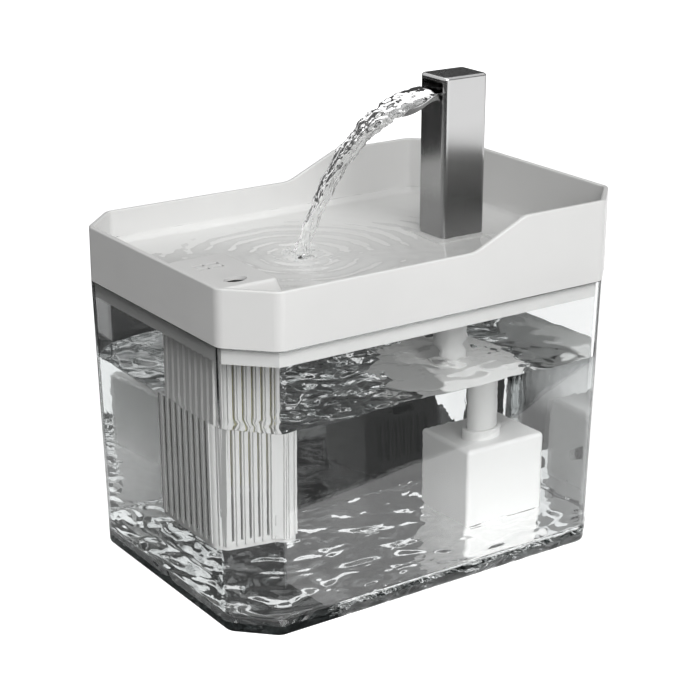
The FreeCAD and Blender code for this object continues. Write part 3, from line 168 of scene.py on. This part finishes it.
def brushed(name, low, high, roughness, along=(400, 400, 6), scale=6.0, foot=None):
    """Brushed metal whose strokes run along the axis with the smallest stretch. foot gives it a darker lower
    end, painted shade that stands in for dark reflections there: the two heights between which it changes,
    and the two shares of the colour."""
    mat, tree, shader = new_material(name)
    strokes = object_noise(tree, scale, 4.0, along)
    tone = ramp(tree, strokes, "Fac", low, high, 0.3, 0.7)
    if foot is None:
        join(tree, tone, "Color", shader, "Base Color")
    else:
        heights, shares = foot
        # Painted shade: the colour darkens by height towards the lower end, in place of dark reflections
        fade = map_range(tree, height_of(tree), "Z", heights, shares)
        # The sockets of a colour mix are numbered: 0 is the factor, 6 and 7 the colours, and 2 the result
        shade = add(tree, "ShaderNodeMix", data_type="RGBA", blend_type="MULTIPLY")
        shade.inputs[0].default_value = 1.0
        join(tree, tone, "Color", shade, 6)
        join(tree, fade, "Result", shade, 7)
        join(tree, shade, 2, shader, "Base Color")
    shader.inputs["Metallic"].default_value = 1.0
    rough = ramp(tree, strokes, "Fac", roughness - 0.05, roughness + 0.06, 0.3, 0.7)
    join(tree, rough, "Color", shader, "Roughness")
    bump(tree, shader, strokes, "Fac", 0.12, 0.00002)
    return mat


def clear(name, color, ior, roughness=0.0):
    mat, tree, shader = new_material(name)
    shader.inputs["Base Color"].default_value = (*color, 1)
    shader.inputs["Transmission Weight"].default_value = 1.0
    shader.inputs["IOR"].default_value = ior
    shader.inputs["Roughness"].default_value = roughness
    return mat, tree, shader


def foam(name, low, high, pore=900.0):
    mat, tree, shader = new_material(name)
    coord = add(tree, "ShaderNodeTexCoord")
    cells = add(tree, "ShaderNodeTexVoronoi", Scale=pore)
    join(tree, coord, "Object", cells, "Vector")
    # Painted shade: the colour darkens towards the bottom of each pit of the bump, where shade falls in the
    # pores
    tone = ramp(tree, cells, "Distance", low, high, 0.05, 0.6)
    join(tree, tone, "Color", shader, "Base Color")
    shader.inputs["Roughness"].default_value = 0.95
    shader.inputs["Sheen Weight"].default_value = 0.3
    bump(tree, shader, cells, "Distance", 0.8, 0.0004)
    return mat


white = moulded("white_plastic", (0.80, 0.80, 0.79), (0.84, 0.84, 0.83), 0.38, coat=0.25)
# The steel's darker lower end (foot) is painted shade that stands in for dark reflections
steel = brushed("brushed_steel", 0.46, 0.51, 0.2, (900, 900, 5), 9.0, foot=((0.165, 0.205), (0.55, 1.0)))
black = moulded("black_plastic", 0.012, 0.02, 0.42)
rubber = moulded("dark_rubber", 0.02, 0.035, 0.7, grain=900.0, depth=0.00004)
lamination = brushed("lamination", 0.16, 0.34, 0.42, (1500, 4, 4))
winding = brushed("winding", (0.42, 0.17, 0.06), (0.62, 0.28, 0.11), 0.35, (4, 1400, 4))
potting = moulded("potting", 0.03, 0.05, 0.55)
magnet = moulded("magnet", 0.05, 0.08, 0.45)
ceramic = moulded("ceramic", 0.86, 0.9, 0.16, depth=0.000005)

# The tank's clear plastic: a tint that grows with depth, faint waves in the walls, and strong ones in the
# floor, which fade out between two heights
tank_clear, tree, shader = clear("clear_tank", (0.965, 0.97, 0.97), 1.49)
tint = add(tree, "ShaderNodeVolumeAbsorption", Color=(0.72, 0.74, 0.74, 1), Density=40.0)
join(tree, tint, "Volume", output_of(tree), "Volume")
waves = object_noise(tree, 22.0, 1.5)
swirls = object_noise(tree, 48.0, 2.0)
swirls.inputs["Distortion"].default_value = 1.2
near_floor = map_range(tree, height_of(tree), "Z", (0.009, 0.0055), (0.0, 1.0))
floor_waves = add(tree, "ShaderNodeMath", operation="MULTIPLY")
join(tree, swirls, "Fac", floor_waves, 0)
join(tree, near_floor, "Result", floor_waves, 1)
all_waves = add(tree, "ShaderNodeMath", operation="MULTIPLY_ADD")
join(tree, waves, "Fac", all_waves, 0)
all_waves.inputs[1].default_value = 0.02
join(tree, floor_waves, "Value", all_waves, 2)
bump(tree, shader, all_waves, "Value", 1.0, 0.0045)

silicone, tree, shader = clear("clear_silicone", (0.92, 0.93, 0.93), 1.41, 0.12)
bump(tree, shader, object_noise(tree, 300.0), "Fac", 0.1, 0.0001)
water, tree, shader = clear("water", (0.985, 0.99, 0.99), 1.333)
bump(tree, shader, object_noise(tree, 140.0, 2.0), "Fac", 0.06, 0.001)
# The foams and the carbon sachet get painted shade in their pores from foam()
yellow_foam = foam("yellow_sponge", (0.62, 0.56, 0.16), (0.9, 0.86, 0.42))
grey_foam = foam("grey_sponge", (0.05, 0.05, 0.055), (0.3, 0.31, 0.32), 1100.0)
sachet = foam("carbon_sachet", (0.05, 0.05, 0.055), (0.16, 0.16, 0.17), 500.0)

LOOKS = {
    "clear_tank": tank_clear, "white_plastic": white, "brushed_steel": steel, "black_plastic": black,
    "dark_rubber": rubber, "clear_silicone": silicone, "yellow_sponge": yellow_foam,
    "grey_sponge": grey_foam, "carbon_sachet": sachet, "lamination": lamination, "winding": winding,
    "potting": potting, "magnet": magnet, "ceramic": ceramic,
}
for part in frame["record"]["subparts"]:
    item = nodes[part["node"]]
    for slot in item.material_slots:
        slot.material = LOOKS[part["material_slot"]]


# Mesh helpers

def mesh_piece(name, verts, faces, material, sharp_angle=None):
    mesh = bpy.data.meshes.new(name)
    mesh.from_pydata([tuple(v) for v in verts], [], [tuple(f) for f in faces])
    mesh.validate()
    mesh.materials.append(material)
    mesh.polygons.foreach_set("use_smooth", [True] * len(mesh.polygons))
    item = bpy.data.objects.new(name, mesh)
    bpy.context.collection.objects.link(item)
    if sharp_angle is not None:
        mesh.set_sharp_from_angle(angle=math.radians(sharp_angle))
    return item


def rounded_octagon(half_x, half_y, corner, radius, arc_steps=8, edge_step=3.0):
    """Points round an octagon with rounded corners. The points of each side are as many as fit its length."""
    a, b, c = half_x, half_y, corner
    raw = [Vector(p) for p in ((-a + c, -b), (a - c, -b), (a, -b + c), (a, b - c),
                               (a - c, b), (-a + c, b), (-a, b - c), (-a, -b + c))]
    counts = [max(2, round((raw[(i + 1) % 8] - raw[i]).length / edge_step)) for i in range(8)]
    points = []
    for i, here in enumerate(raw):
        before = (raw[i - 1] - here).normalized()
        after = (raw[(i + 1) % 8] - here).normalized()
        turn = math.pi - before.angle(after)
        tangent = radius * math.tan(turn / 2)
        centre = here + (before + after).normalized() * (radius / math.cos(turn / 2))
        start, end = here + before * tangent - centre, here + after * tangent - centre
        first = math.atan2(start.y, start.x)
        sweep = (math.atan2(end.y, end.x) - first + math.pi) % (2 * math.pi) - math.pi
        for k in range(arc_steps + 1):
            angle = first + sweep * k / arc_steps
            points.append(centre + Vector((math.cos(angle), math.sin(angle))) * radius)
        following = raw[(i + 1) % 8]
        away = (raw[(i + 2) % 8] - following).normalized()
        back = (here - following).normalized()
        next_turn = math.pi - back.angle(away)
        stop = following + back * (radius * math.tan(next_turn / 2))
        last = points[-1]
        for k in range(1, counts[i]):
            points.append(last.lerp(stop, k / counts[i]))
    return points


def close_inward(verts, faces, first, outer, z, height, rings, upward):
    """Closes the ring that starts at index first with rings that shrink to its middle, rippled by height."""
    n = len(outer)

    def face(*corners):
        faces.append(corners if upward else tuple(reversed(corners)))

    for k, p in enumerate(outer):
        verts[first + k].z = z + height(p.x, p.y)
    base = first
    for ring in range(1, rings):
        share = 1 - ring / rings
        start = len(verts)
        verts += [Vector((p.x * share, p.y * share, z + height(p.x * share, p.y * share))) for p in outer]
        for k in range(n):
            face(base + k, base + (k + 1) % n, start + (k + 1) % n, start + k)
        base = start
    verts.append(Vector((0, 0, z + height(0, 0))))
    for k in range(n):
        face(base + k, base + (k + 1) % n, len(verts) - 1)


def water_body(name, levels, height, rings, material, foot=None):
    """A body of rings of outline points from the bottom up, with a rippled top, and a foot that may ripple
    too. levels holds (z, half_x, half_y, corner, radius); height gives the ripple at a point. The rings are
    joined as if each had as many points as the first. The tank's have. The tray's upper rings have up to 8
    more, so its mesh is twisted a little and has a small gap in the edge of its top, which is left open."""
    verts, faces = [], []
    outlines = [rounded_octagon(*level[1:]) for level in levels]
    n = len(outlines[0])
    for level, points in zip(levels, outlines):
        verts += [Vector((p.x, p.y, level[0])) for p in points]
    for ring in range(len(levels) - 1):
        for k in range(n):
            a, b = ring * n + k, ring * n + (k + 1) % n
            faces.append((a, b, b + n, a + n))
    last = len(levels) - 1
    close_inward(verts, faces, last * n, outlines[-1], levels[-1][0], height, rings, True)
    if foot is None:
        faces.append(tuple(reversed(range(n))))
    else:
        close_inward(verts, faces, 0, outlines[0], levels[0][0], foot, rings, False)
    return mesh_piece(name, [v * MM for v in verts], faces, material, sharp_angle=30)


def tank_inset(z):
    return TANK_WALL + TANK_TAPER * (1 - z / TANK_TOP)


def tank_ripple(x, y):
    p = Vector((x, y, 0)) / 26.0
    swell = noise.noise(p + Vector((3.1, 7.7, 0.4)))
    chop = noise.noise(p * 2.7 + Vector((11.0, 2.0, 5.0)))
    fine = noise.noise(p * 6.1 + Vector((1.0, 9.0, 2.0)))
    return 1.5 * swell + 0.8 * chop + 0.25 * fine


def tray_ripple(x, y):
    r = (Vector((x, y)) - IMPACT).length
    p = Vector((x, y, 0)) / 20.0
    bend = 3.0 * noise.noise(p * 0.8 + Vector((6.0, 1.0, 0.0)))
    rings = math.sin((r + bend) / 1.55) * math.exp(-r / 48.0)
    churn = 0.5 * noise.noise(p * 7.0) * math.exp(-r / 12.0)
    crater = 0.9 * math.exp(-((r - 6.0) / 2.2) ** 2)
    return 0.5 * rings + churn + crater + 0.24 * noise.noise(p) + 0.12 * noise.noise(p * 3.1)


def foot_ripple(x, y):
    """Low waves in the clear floor, which break up what it mirrors."""
    p = Vector((x, y, 0)) / 17.0
    q = p + Vector((noise.noise(p + Vector((5, 1, 2))), noise.noise(p + Vector((2, 8, 3))), 0)) * 0.8
    return 1.3 * noise.noise(q) + 0.5 * noise.noise(q * 2.3 + Vector((4, 4, 4)))


levels = []
for z in (FOOT_Z, TANK_WATER):
    inset = tank_inset(z) - SKIN
    levels.append((z, TANK_X - inset, TANK_Y - inset, TANK_CORNER - CUT * inset, TANK_ROUND))
tank_water = water_body("tank_water", levels, tank_ripple, rings=90, material=water, foot=foot_ripple)
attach(tank_water, "tank")

# extra narrows the tray's water near the deck
levels = []
for z, extra in ((DECK - SKIN, 2.0), (DECK + 1.5, 0.6), (DECK + 4.0, 0.0), (TRAY_WATER, 0.0)):
    inset = TRAY_WALL - SKIN + extra
    levels.append((z, TANK_X - inset, TANK_Y - inset, TANK_CORNER - CUT * inset, TRAY_ROUND))
tray_water = water_body("tray_water", levels, tray_ripple, rings=110, material=water)
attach(tray_water, "tray")


# Foam and the carbon sachet

def block_points(steps):
    """Points on the faces of a cube of half size 1, with the quads between them."""
    verts, faces, index = [], [], {}

    def corner(p):
        key = tuple(round(c * steps) for c in p)
        if key not in index:
            index[key] = len(verts)
            verts.append(Vector(p))
        return index[key]

    for axis in range(3):
        for sign in (-1, 1):
            for i in range(steps):
                for j in range(steps):
                    quad = []
                    for di, dj in ((0, 0), (1, 0), (1, 1), (0, 1)):
                        p = [0.0, 0.0, 0.0]
                        p[axis] = float(sign)
                        p[(axis + 1) % 3] = -1 + 2 * (i + di) / steps
                        p[(axis + 2) % 3] = -1 + 2 * (j + dj) / steps
                        quad.append(corner(p))
                    faces.append(quad if sign > 0 else quad[::-1])
    return verts, faces


def foam_block(name, node, body, material, radius, crown, pore, depth, steps=56):
    """A cut foam block: rounded edges, faces that belly out a little, and open pores."""
    low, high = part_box(node)
    middle, half = (low + high) / 2, (high - low) / 2
    verts, faces = block_points(steps)
    points = []
    for v in verts:
        reach = [half[k] - crown for k in range(3)]
        flat = Vector([v[k] * reach[k] for k in range(3)])
        core = Vector([max(-reach[k] + radius, min(reach[k] - radius, flat[k])) for k in range(3)])
        out = flat - core
        out = out.normalized() if out.length > 1e-9 else Vector((0, 0, 0))
        p = core + out * radius
        belly = 1.0
        for k in range(3):
            if abs(v[k]) < 0.999:
                belly *= 1 - v[k] ** 2
        pocket = noise.cell(p * pore) * 0.5 + noise.noise(p * pore * 0.6)
        p += out * (crown * belly - depth * max(0.0, pocket))
        points.append(p + middle)
    piece = mesh_piece(name, points, faces, material)
    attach(piece, body)
    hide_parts(node)


def sachet_piece(name, node, body, material, steps=72):
    """A bag of carbon granules: two crowned sheets welded together along a flat hem."""
    low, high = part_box(node)
    middle, half = (low + high) / 2, (high - low) / 2
    thin = min(range(3), key=lambda k: half[k])
    wide, tall = [k for k in range(3) if k != thin]
    verts, faces = [], []
    for side in (1, -1):
        start = len(verts)
        for i in range(steps + 1):
            for j in range(steps + 1):
                u, v = -1 + 2 * i / steps, -1 + 2 * j / steps
                inner = max(0.0, 1 - (abs(u) / 0.92) ** 4) * max(0.0, 1 - (abs(v) / 0.94) ** 4)
                puff = inner ** 0.45
                p = [0.0, 0.0, 0.0]
                p[wide], p[tall] = u * half[wide], v * half[tall]
                grain = noise.noise(Vector((p[wide] * 420, p[tall] * 420, side * 3.0)))
                sag = noise.noise(Vector((p[wide] * 40, p[tall] * 40, 7.0 + side)))
                height = half[thin] * (0.08 + puff * (0.74 + 0.1 * grain + 0.08 * sag))
                p[thin] = side * height
                verts.append(Vector(p) + middle)
        for i in range(steps):
            for j in range(steps):
                a = start + i * (steps + 1) + j
                quad = (a, a + steps + 1, a + steps + 2, a + 1)
                faces.append(quad if side > 0 else quad[::-1])
    rim = [i * (steps + 1) for i in range(steps)] + [steps * (steps + 1) + j for j in range(steps)]
    rim += [i * (steps + 1) + steps for i in range(steps, 0, -1)] + list(range(steps, 0, -1))
    back = (steps + 1) ** 2
    for here, after in zip(rim, rim[1:] + rim[:1]):
        faces.append((here, here + back, after + back, after))
    piece = mesh_piece(name, verts, faces, material)
    piece.data.set_sharp_from_angle(angle=math.radians(50))
    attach(piece, body)
    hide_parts(node)


foam_block("sponge_block", "filter_sponge", "basket", yellow_foam,
           radius=0.0025, crown=0.0007, pore=700.0, depth=0.0004)
foam_block("prefilter_block", "prefilter_sponge", "tank", grey_foam,
           radius=0.0012, crown=0.0003, pore=900.0, depth=0.0003)
sachet_piece("carbon_sachet", "carbon_pack", "basket", sachet)


# Jet: a flattened stream that leaves the mouth, narrows as it falls and turns a little about its own path.
# Each row is one station: y, z, half the width and half the thickness, in millimetres
JET = [(56.0, 219.2, 6.4, 1.3), (49.0, 220.0, 6.8, 1.8), (41.0, 219.9, 7.8, 2.3), (32.0, 217.6, 8.0, 2.9),
       (22.0, 213.9, 6.8, 3.2), (12.0, 209.0, 5.6, 3.4), (3.0, 202.5, 4.8, 3.4), (-5.5, 193.5, 4.0, 3.2),
       (-13.5, 182.0, 3.5, 3.0), (-20.8, 169.5, 3.1, 2.7), (-26.0, 158.5, 3.0, 2.6), (-28.6, 152.2, 3.8, 3.4),
       (-29.2, 149.4, 5.6, 5.2)]


def spline(values, t):
    """Catmull-Rom through the values at t from 0 to 1."""
    count = len(values) - 1
    i = min(int(t * count), count - 1)
    f = t * count - i
    p = [np.array(values[min(max(i + k, 0), count)]) for k in (-1, 0, 1, 2)]
    return 0.5 * (2 * p[1] + (p[2] - p[0]) * f + (2 * p[0] - 5 * p[1] + 4 * p[2] - p[3]) * f ** 2
                  + (3 * p[1] - p[0] - 3 * p[2] + p[3]) * f ** 3)


def jet_mesh(name, steps=360, around=72):
    """The skin of the stream: smooth near the mouth, lumpy after it, and closed at both ends."""
    verts, faces = [], []
    for step in range(steps + 1):
        t = step / steps
        y, z, wide, thick = spline(JET, t)
        ahead = spline(JET, min(t + 0.004, 1.0)) - spline(JET, max(t - 0.004, 0.0))
        tangent = Vector((0, ahead[0], ahead[1])).normalized()
        side = Vector((1, 0, 0))
        up = side.cross(tangent)
        twist = 0.9 * t ** 1.5
        for k in range(around):
            angle = 2 * math.pi * k / around
            lump = noise.noise(Vector((math.cos(angle) * 1.3, math.sin(angle) * 1.3, t * 22.0)))
            strand = noise.noise(Vector((math.cos(angle) * 2.6, math.sin(angle) * 2.6, t * 34.0)))
            fine = noise.noise(Vector((math.cos(angle) * 5.0, math.sin(angle) * 5.0, t * 90.0)))
            free = max(0.0, min(1.0, (t - 0.14) * 5))
            swell = 1 + 0.06 * strand + free * (0.30 * lump + 0.24 * strand + 0.12 * fine)
            a, b = math.cos(angle) * wide * swell, math.sin(angle) * thick * swell
            a, b = a * math.cos(twist) - b * math.sin(twist), a * math.sin(twist) + b * math.cos(twist)
            verts.append(Vector((0, y, z)) + side * a + up * b)
        if step:
            for k in range(around):
                low, after = (step - 1) * around, (k + 1) % around
                faces.append((low + k, low + after, low + around + after, low + around + k))
    faces.append(tuple(reversed(range(around))))
    faces.append(tuple(range(steps * around, (steps + 1) * around)))
    return mesh_piece(name, [v * MM for v in verts], faces, water)


jet = jet_mesh("water_jet")
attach(jet, "faucet")


def drops_mesh(name, drops, material, around=14, layers=9):
    """Drops and bubbles: each a ball stretched a little along its path."""
    verts, faces = [], []
    for centre, radius, stretch in drops:
        start = len(verts)
        axis = stretch.normalized() if stretch.length else Vector((0, 0, 1))
        turn = axis.to_track_quat("Z", "Y").to_matrix()
        tall = 1 + stretch.length
        verts.append(centre + axis * radius * tall)
        for layer in range(1, layers):
            polar = math.pi * layer / layers
            for k in range(around):
                angle = 2 * math.pi * k / around
                out = math.sin(polar)
                p = Vector((out * math.cos(angle), out * math.sin(angle), math.cos(polar) * tall))
                verts.append(centre + turn @ (p * radius))
        verts.append(centre - axis * radius * tall)
        last = len(verts) - 1
        for k in range(around):
            after = (k + 1) % around
            faces.append((start, start + 1 + k, start + 1 + after))
            for layer in range(layers - 2):
                low = start + 1 + layer * around
                faces.append((low + k, low + around + k, low + around + after, low + after))
            low = start + 1 + (layers - 2) * around
            faces.append((low + k, last, low + after))
    return mesh_piece(name, [v * MM for v in verts], faces, material)


# Splash round the impact: drops thrown up in a ring, and bubbles that float out on the surface
rng = np.random.default_rng(7)
drops = []
for _ in range(26):
    angle, far = rng.uniform(0, 2 * math.pi), rng.uniform(3.5, 9.0)
    lift = rng.uniform(0.3, 5.5) * (1 - far / 14)
    centre = Vector((IMPACT.x + math.cos(angle) * far, IMPACT.y + math.sin(angle) * far, TRAY_WATER + lift))
    drops.append((centre, rng.uniform(0.25, 0.8), Vector((math.cos(angle), math.sin(angle), 1.2)) * 0.25))
for _ in range(34):
    angle, far = rng.uniform(0, 2 * math.pi), rng.uniform(3.0, 16.0)
    x, y = IMPACT.x + math.cos(angle) * far, IMPACT.y + math.sin(angle) * far
    centre = Vector((x, y, TRAY_WATER + tray_ripple(x, y) + 0.1))
    drops.append((centre, rng.uniform(0.35, 1.0), Vector((0, 0, 0))))
splash = drops_mesh("splash", drops, water)
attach(splash, "tray")


# Camera, solved from the corners of the tray and tank
EYE, AIM, ROLL = Vector((0.7089, -0.4896, 0.4027)), Vector((0.0054, -0.0043, 0.1001)), 0.16
SENSOR, LENS = 36.0, 96.16
camera = bpy.data.cameras.new("camera")
camera.sensor_width = SENSOR
camera.lens = LENS
view = bpy.data.objects.new("camera", camera)
bpy.context.collection.objects.link(view)
turn = (AIM - EYE).to_track_quat("-Z", "Y").to_matrix().to_4x4()
view.matrix_world = Matrix.Translation(EYE) @ turn @ Matrix.Rotation(math.radians(ROLL), 4, "Z")
bpy.context.scene.camera = view


# Floor and world: white for the camera and in reflections, plainly lit otherwise

def white_rays(tree):
    """A node whose Value is 1 for the camera, glossy and transmission rays, which see plain white."""
    path = add(tree, "ShaderNodeLightPath")
    total, output = path, "Is Camera Ray"
    for name in ("Is Glossy Ray", "Is Transmission Ray"):
        step = add(tree, "ShaderNodeMath", operation="MAXIMUM")
        join(tree, total, output, step, 0)
        join(tree, path, name, step, 1)
        total, output = step, "Value"
    # Light that a pale piece gathers through the clear tank counts as plain light, not as a view
    direct = add(tree, "ShaderNodeMath", operation="LESS_THAN")
    join(tree, path, "Diffuse Depth", direct, 0)
    direct.inputs[1].default_value = 0.5
    seen = add(tree, "ShaderNodeMath", operation="MULTIPLY")
    join(tree, total, output, seen, 0)
    join(tree, direct, "Value", seen, 1)
    return seen


def lamp(name, location, size, power):
    data = bpy.data.lights.new(name, "AREA")
    data.shape = "RECTANGLE"
    data.size, data.size_y = size
    data.energy = power
    item = bpy.data.objects.new(name, data)
    bpy.context.collection.objects.link(item)
    item.location = location
    item.rotation_euler = (Vector(LAMP_AIM) - Vector(location)).to_track_quat("-Z", "Y").to_euler()
    item.visible_transmission = False


world = bpy.data.worlds.new("world")
bpy.context.scene.world = world
world.use_nodes = True
tree = world.node_tree
background = next(n for n in tree.nodes if n.type == "BACKGROUND")
background.inputs["Color"].default_value = (1, 1, 1, 1)
strength = map_range(tree, white_rays(tree), "Value", (0.0, 1.0), (WORLD_LIGHT, 1.0))
join(tree, strength, "Result", background, "Strength")

floor_mesh = bpy.data.meshes.new("floor")
floor_corners = [(x * FLOOR_HALF, y * FLOOR_HALF, 0) for x, y in ((-1, -1), (1, -1), (1, 1), (-1, 1))]
floor_mesh.from_pydata(floor_corners, [], [(0, 1, 2, 3)])
floor = bpy.data.objects.new("floor", floor_mesh)
floor.location.z = FLOOR_Z
bpy.context.collection.objects.link(floor)
floor_mat, tree, shader = new_material("floor")
shader.inputs["Base Color"].default_value = (0.6, 0.6, 0.6, 1)
shader.inputs["Roughness"].default_value = 0.9
glow = add(tree, "ShaderNodeEmission", Color=rgba(1))
# Near the object the glow alone stays under white, and the lamps bring it there, except in the shadow
place = add(tree, "ShaderNodeTexCoord")
far = add(tree, "ShaderNodeVectorMath", operation="LENGTH")
join(tree, place, "Object", far, 0)
reach = map_range(tree, far, "Value", GLOW_REACH, (FLOOR_GLOW, 1.0))
gain = add(tree, "ShaderNodeMath", operation="MULTIPLY")
join(tree, white_rays(tree), "Value", gain, 0)
join(tree, reach, "Result", gain, 1)
join(tree, gain, "Value", glow, "Strength")
both = add(tree, "ShaderNodeAddShader")
join(tree, shader, "BSDF", both, 0)
join(tree, glow, "Emission", both, 1)
join(tree, both, "Shader", output_of(tree), "Surface")
floor_mesh.materials.append(floor_mat)


# Studio cards: flat sheets that glow with a fixed grey and that only glass, water and metal see, as painted
# reflections. The dark ones paint dark surroundings into the clear pieces and the steel, the one on the floor
# also paints the shade seen through the tank's floor, and painted_glow_left paints a bright patch seen
# through the tank

def card(name, corners, tone, spot=None):
    """A flat studio card that only glass, water and metal see. spot fades it out from a middle: the middle,
    the radius where it starts to fade and the radius where it is gone."""
    mesh = bpy.data.meshes.new(name)
    mesh.from_pydata(corners, [], [tuple(range(len(corners)))])
    mat = bpy.data.materials.new(name)
    mat.use_nodes = True
    tree = mat.node_tree
    tree.nodes.clear()
    flat = add(tree, "ShaderNodeEmission", Color=rgba(tone))
    end = add(tree, "ShaderNodeOutputMaterial")
    if spot is None:
        join(tree, flat, "Emission", end, "Surface")
    else:
        middle, start, stop = spot
        place = add(tree, "ShaderNodeTexCoord")
        away = add(tree, "ShaderNodeVectorMath", operation="DISTANCE")
        join(tree, place, "Object", away, 0)
        away.inputs[1].default_value = middle
        fade = map_range(tree, away, "Value", (start, stop), (1.0, 0.0), interpolation_type="SMOOTHSTEP")
        through = add(tree, "ShaderNodeBsdfTransparent")
        mix = add(tree, "ShaderNodeMixShader")
        join(tree, fade, "Result", mix, "Fac")
        join(tree, through, "BSDF", mix, 1)
        join(tree, flat, "Emission", mix, 2)
        join(tree, mix, "Shader", end, "Surface")
    mesh.materials.append(mat)
    item = bpy.data.objects.new(name, mesh)
    bpy.context.collection.objects.link(item)
    item.visible_camera = item.visible_diffuse = item.visible_shadow = False


def lying(z, *points):
    """Corners of a card that lies at height z."""
    return [(x, y, z) for x, y in points]


def standing(low, high, start, end):
    """Corners of an upright card over the line from start to end."""
    return [(*start, low), (*start, high), (*end, high), (*end, low)]


# Dark sheets seen only in reflections and through the clear pieces: painted dark reflections, and under the
# tank painted shade seen through its floor
card("flag_floor", lying(CARD_Z, (-2.5, -2.5), (2.5, -2.5), (2.5, -0.35), (0.04, -0.05),
                         (0.0, 0.1), (-0.085, 0.115), (-0.2, 0.16), (-2.5, 1.0)), 0.03)
card("flag_near", lying(CARD_Z, (0.16, -0.14), (0.42, -0.2), (0.52, 0.2), (0.4, 0.5),
                        (0.3, 0.35), (0.2, 0.13)), 0.03)
card("flag_back", standing(0, 0.75, (-1.6, -0.6), (0.3, 1.6)), 0.06)
card("flag_far", standing(0.26, 0.6, (1.1, 0.1), (0.4, 1.2)), 0.06)
# A glowing patch that lights nothing and is seen only through the clear pieces: painted light
card("painted_glow_left", lying(SPOT_Z, (-0.28, -0.22), (-0.02, -0.22), (-0.02, 0.04), (-0.28, 0.04)), 0.9,
     spot=((-0.15, -0.09, 0), 0.03, 0.11))

# Lamps: place, size and power
lamp("key", (1.3, -0.25, 0.95), (1.5, 1.2), 21)
lamp("fill", (-1.3, 0.9, 0.9), (1.4, 1.2), 4)
lamp("top", (-0.2, -0.1, 1.6), (1.2, 1.2), 5)

# Clear pieces let the lamps' light through to what they hold, and rays may cross many of their surfaces
for item in (nodes["tank"], tank_water, tray_water, jet, splash):
    item.visible_shadow = False

scene = bpy.context.scene
scene.cycles.max_bounces = 32
scene.cycles.transmission_bounces = 32
scene.cycles.glossy_bounces = 16
scene.cycles.diffuse_bounces = 2
scene.view_settings.view_transform = "Standard"
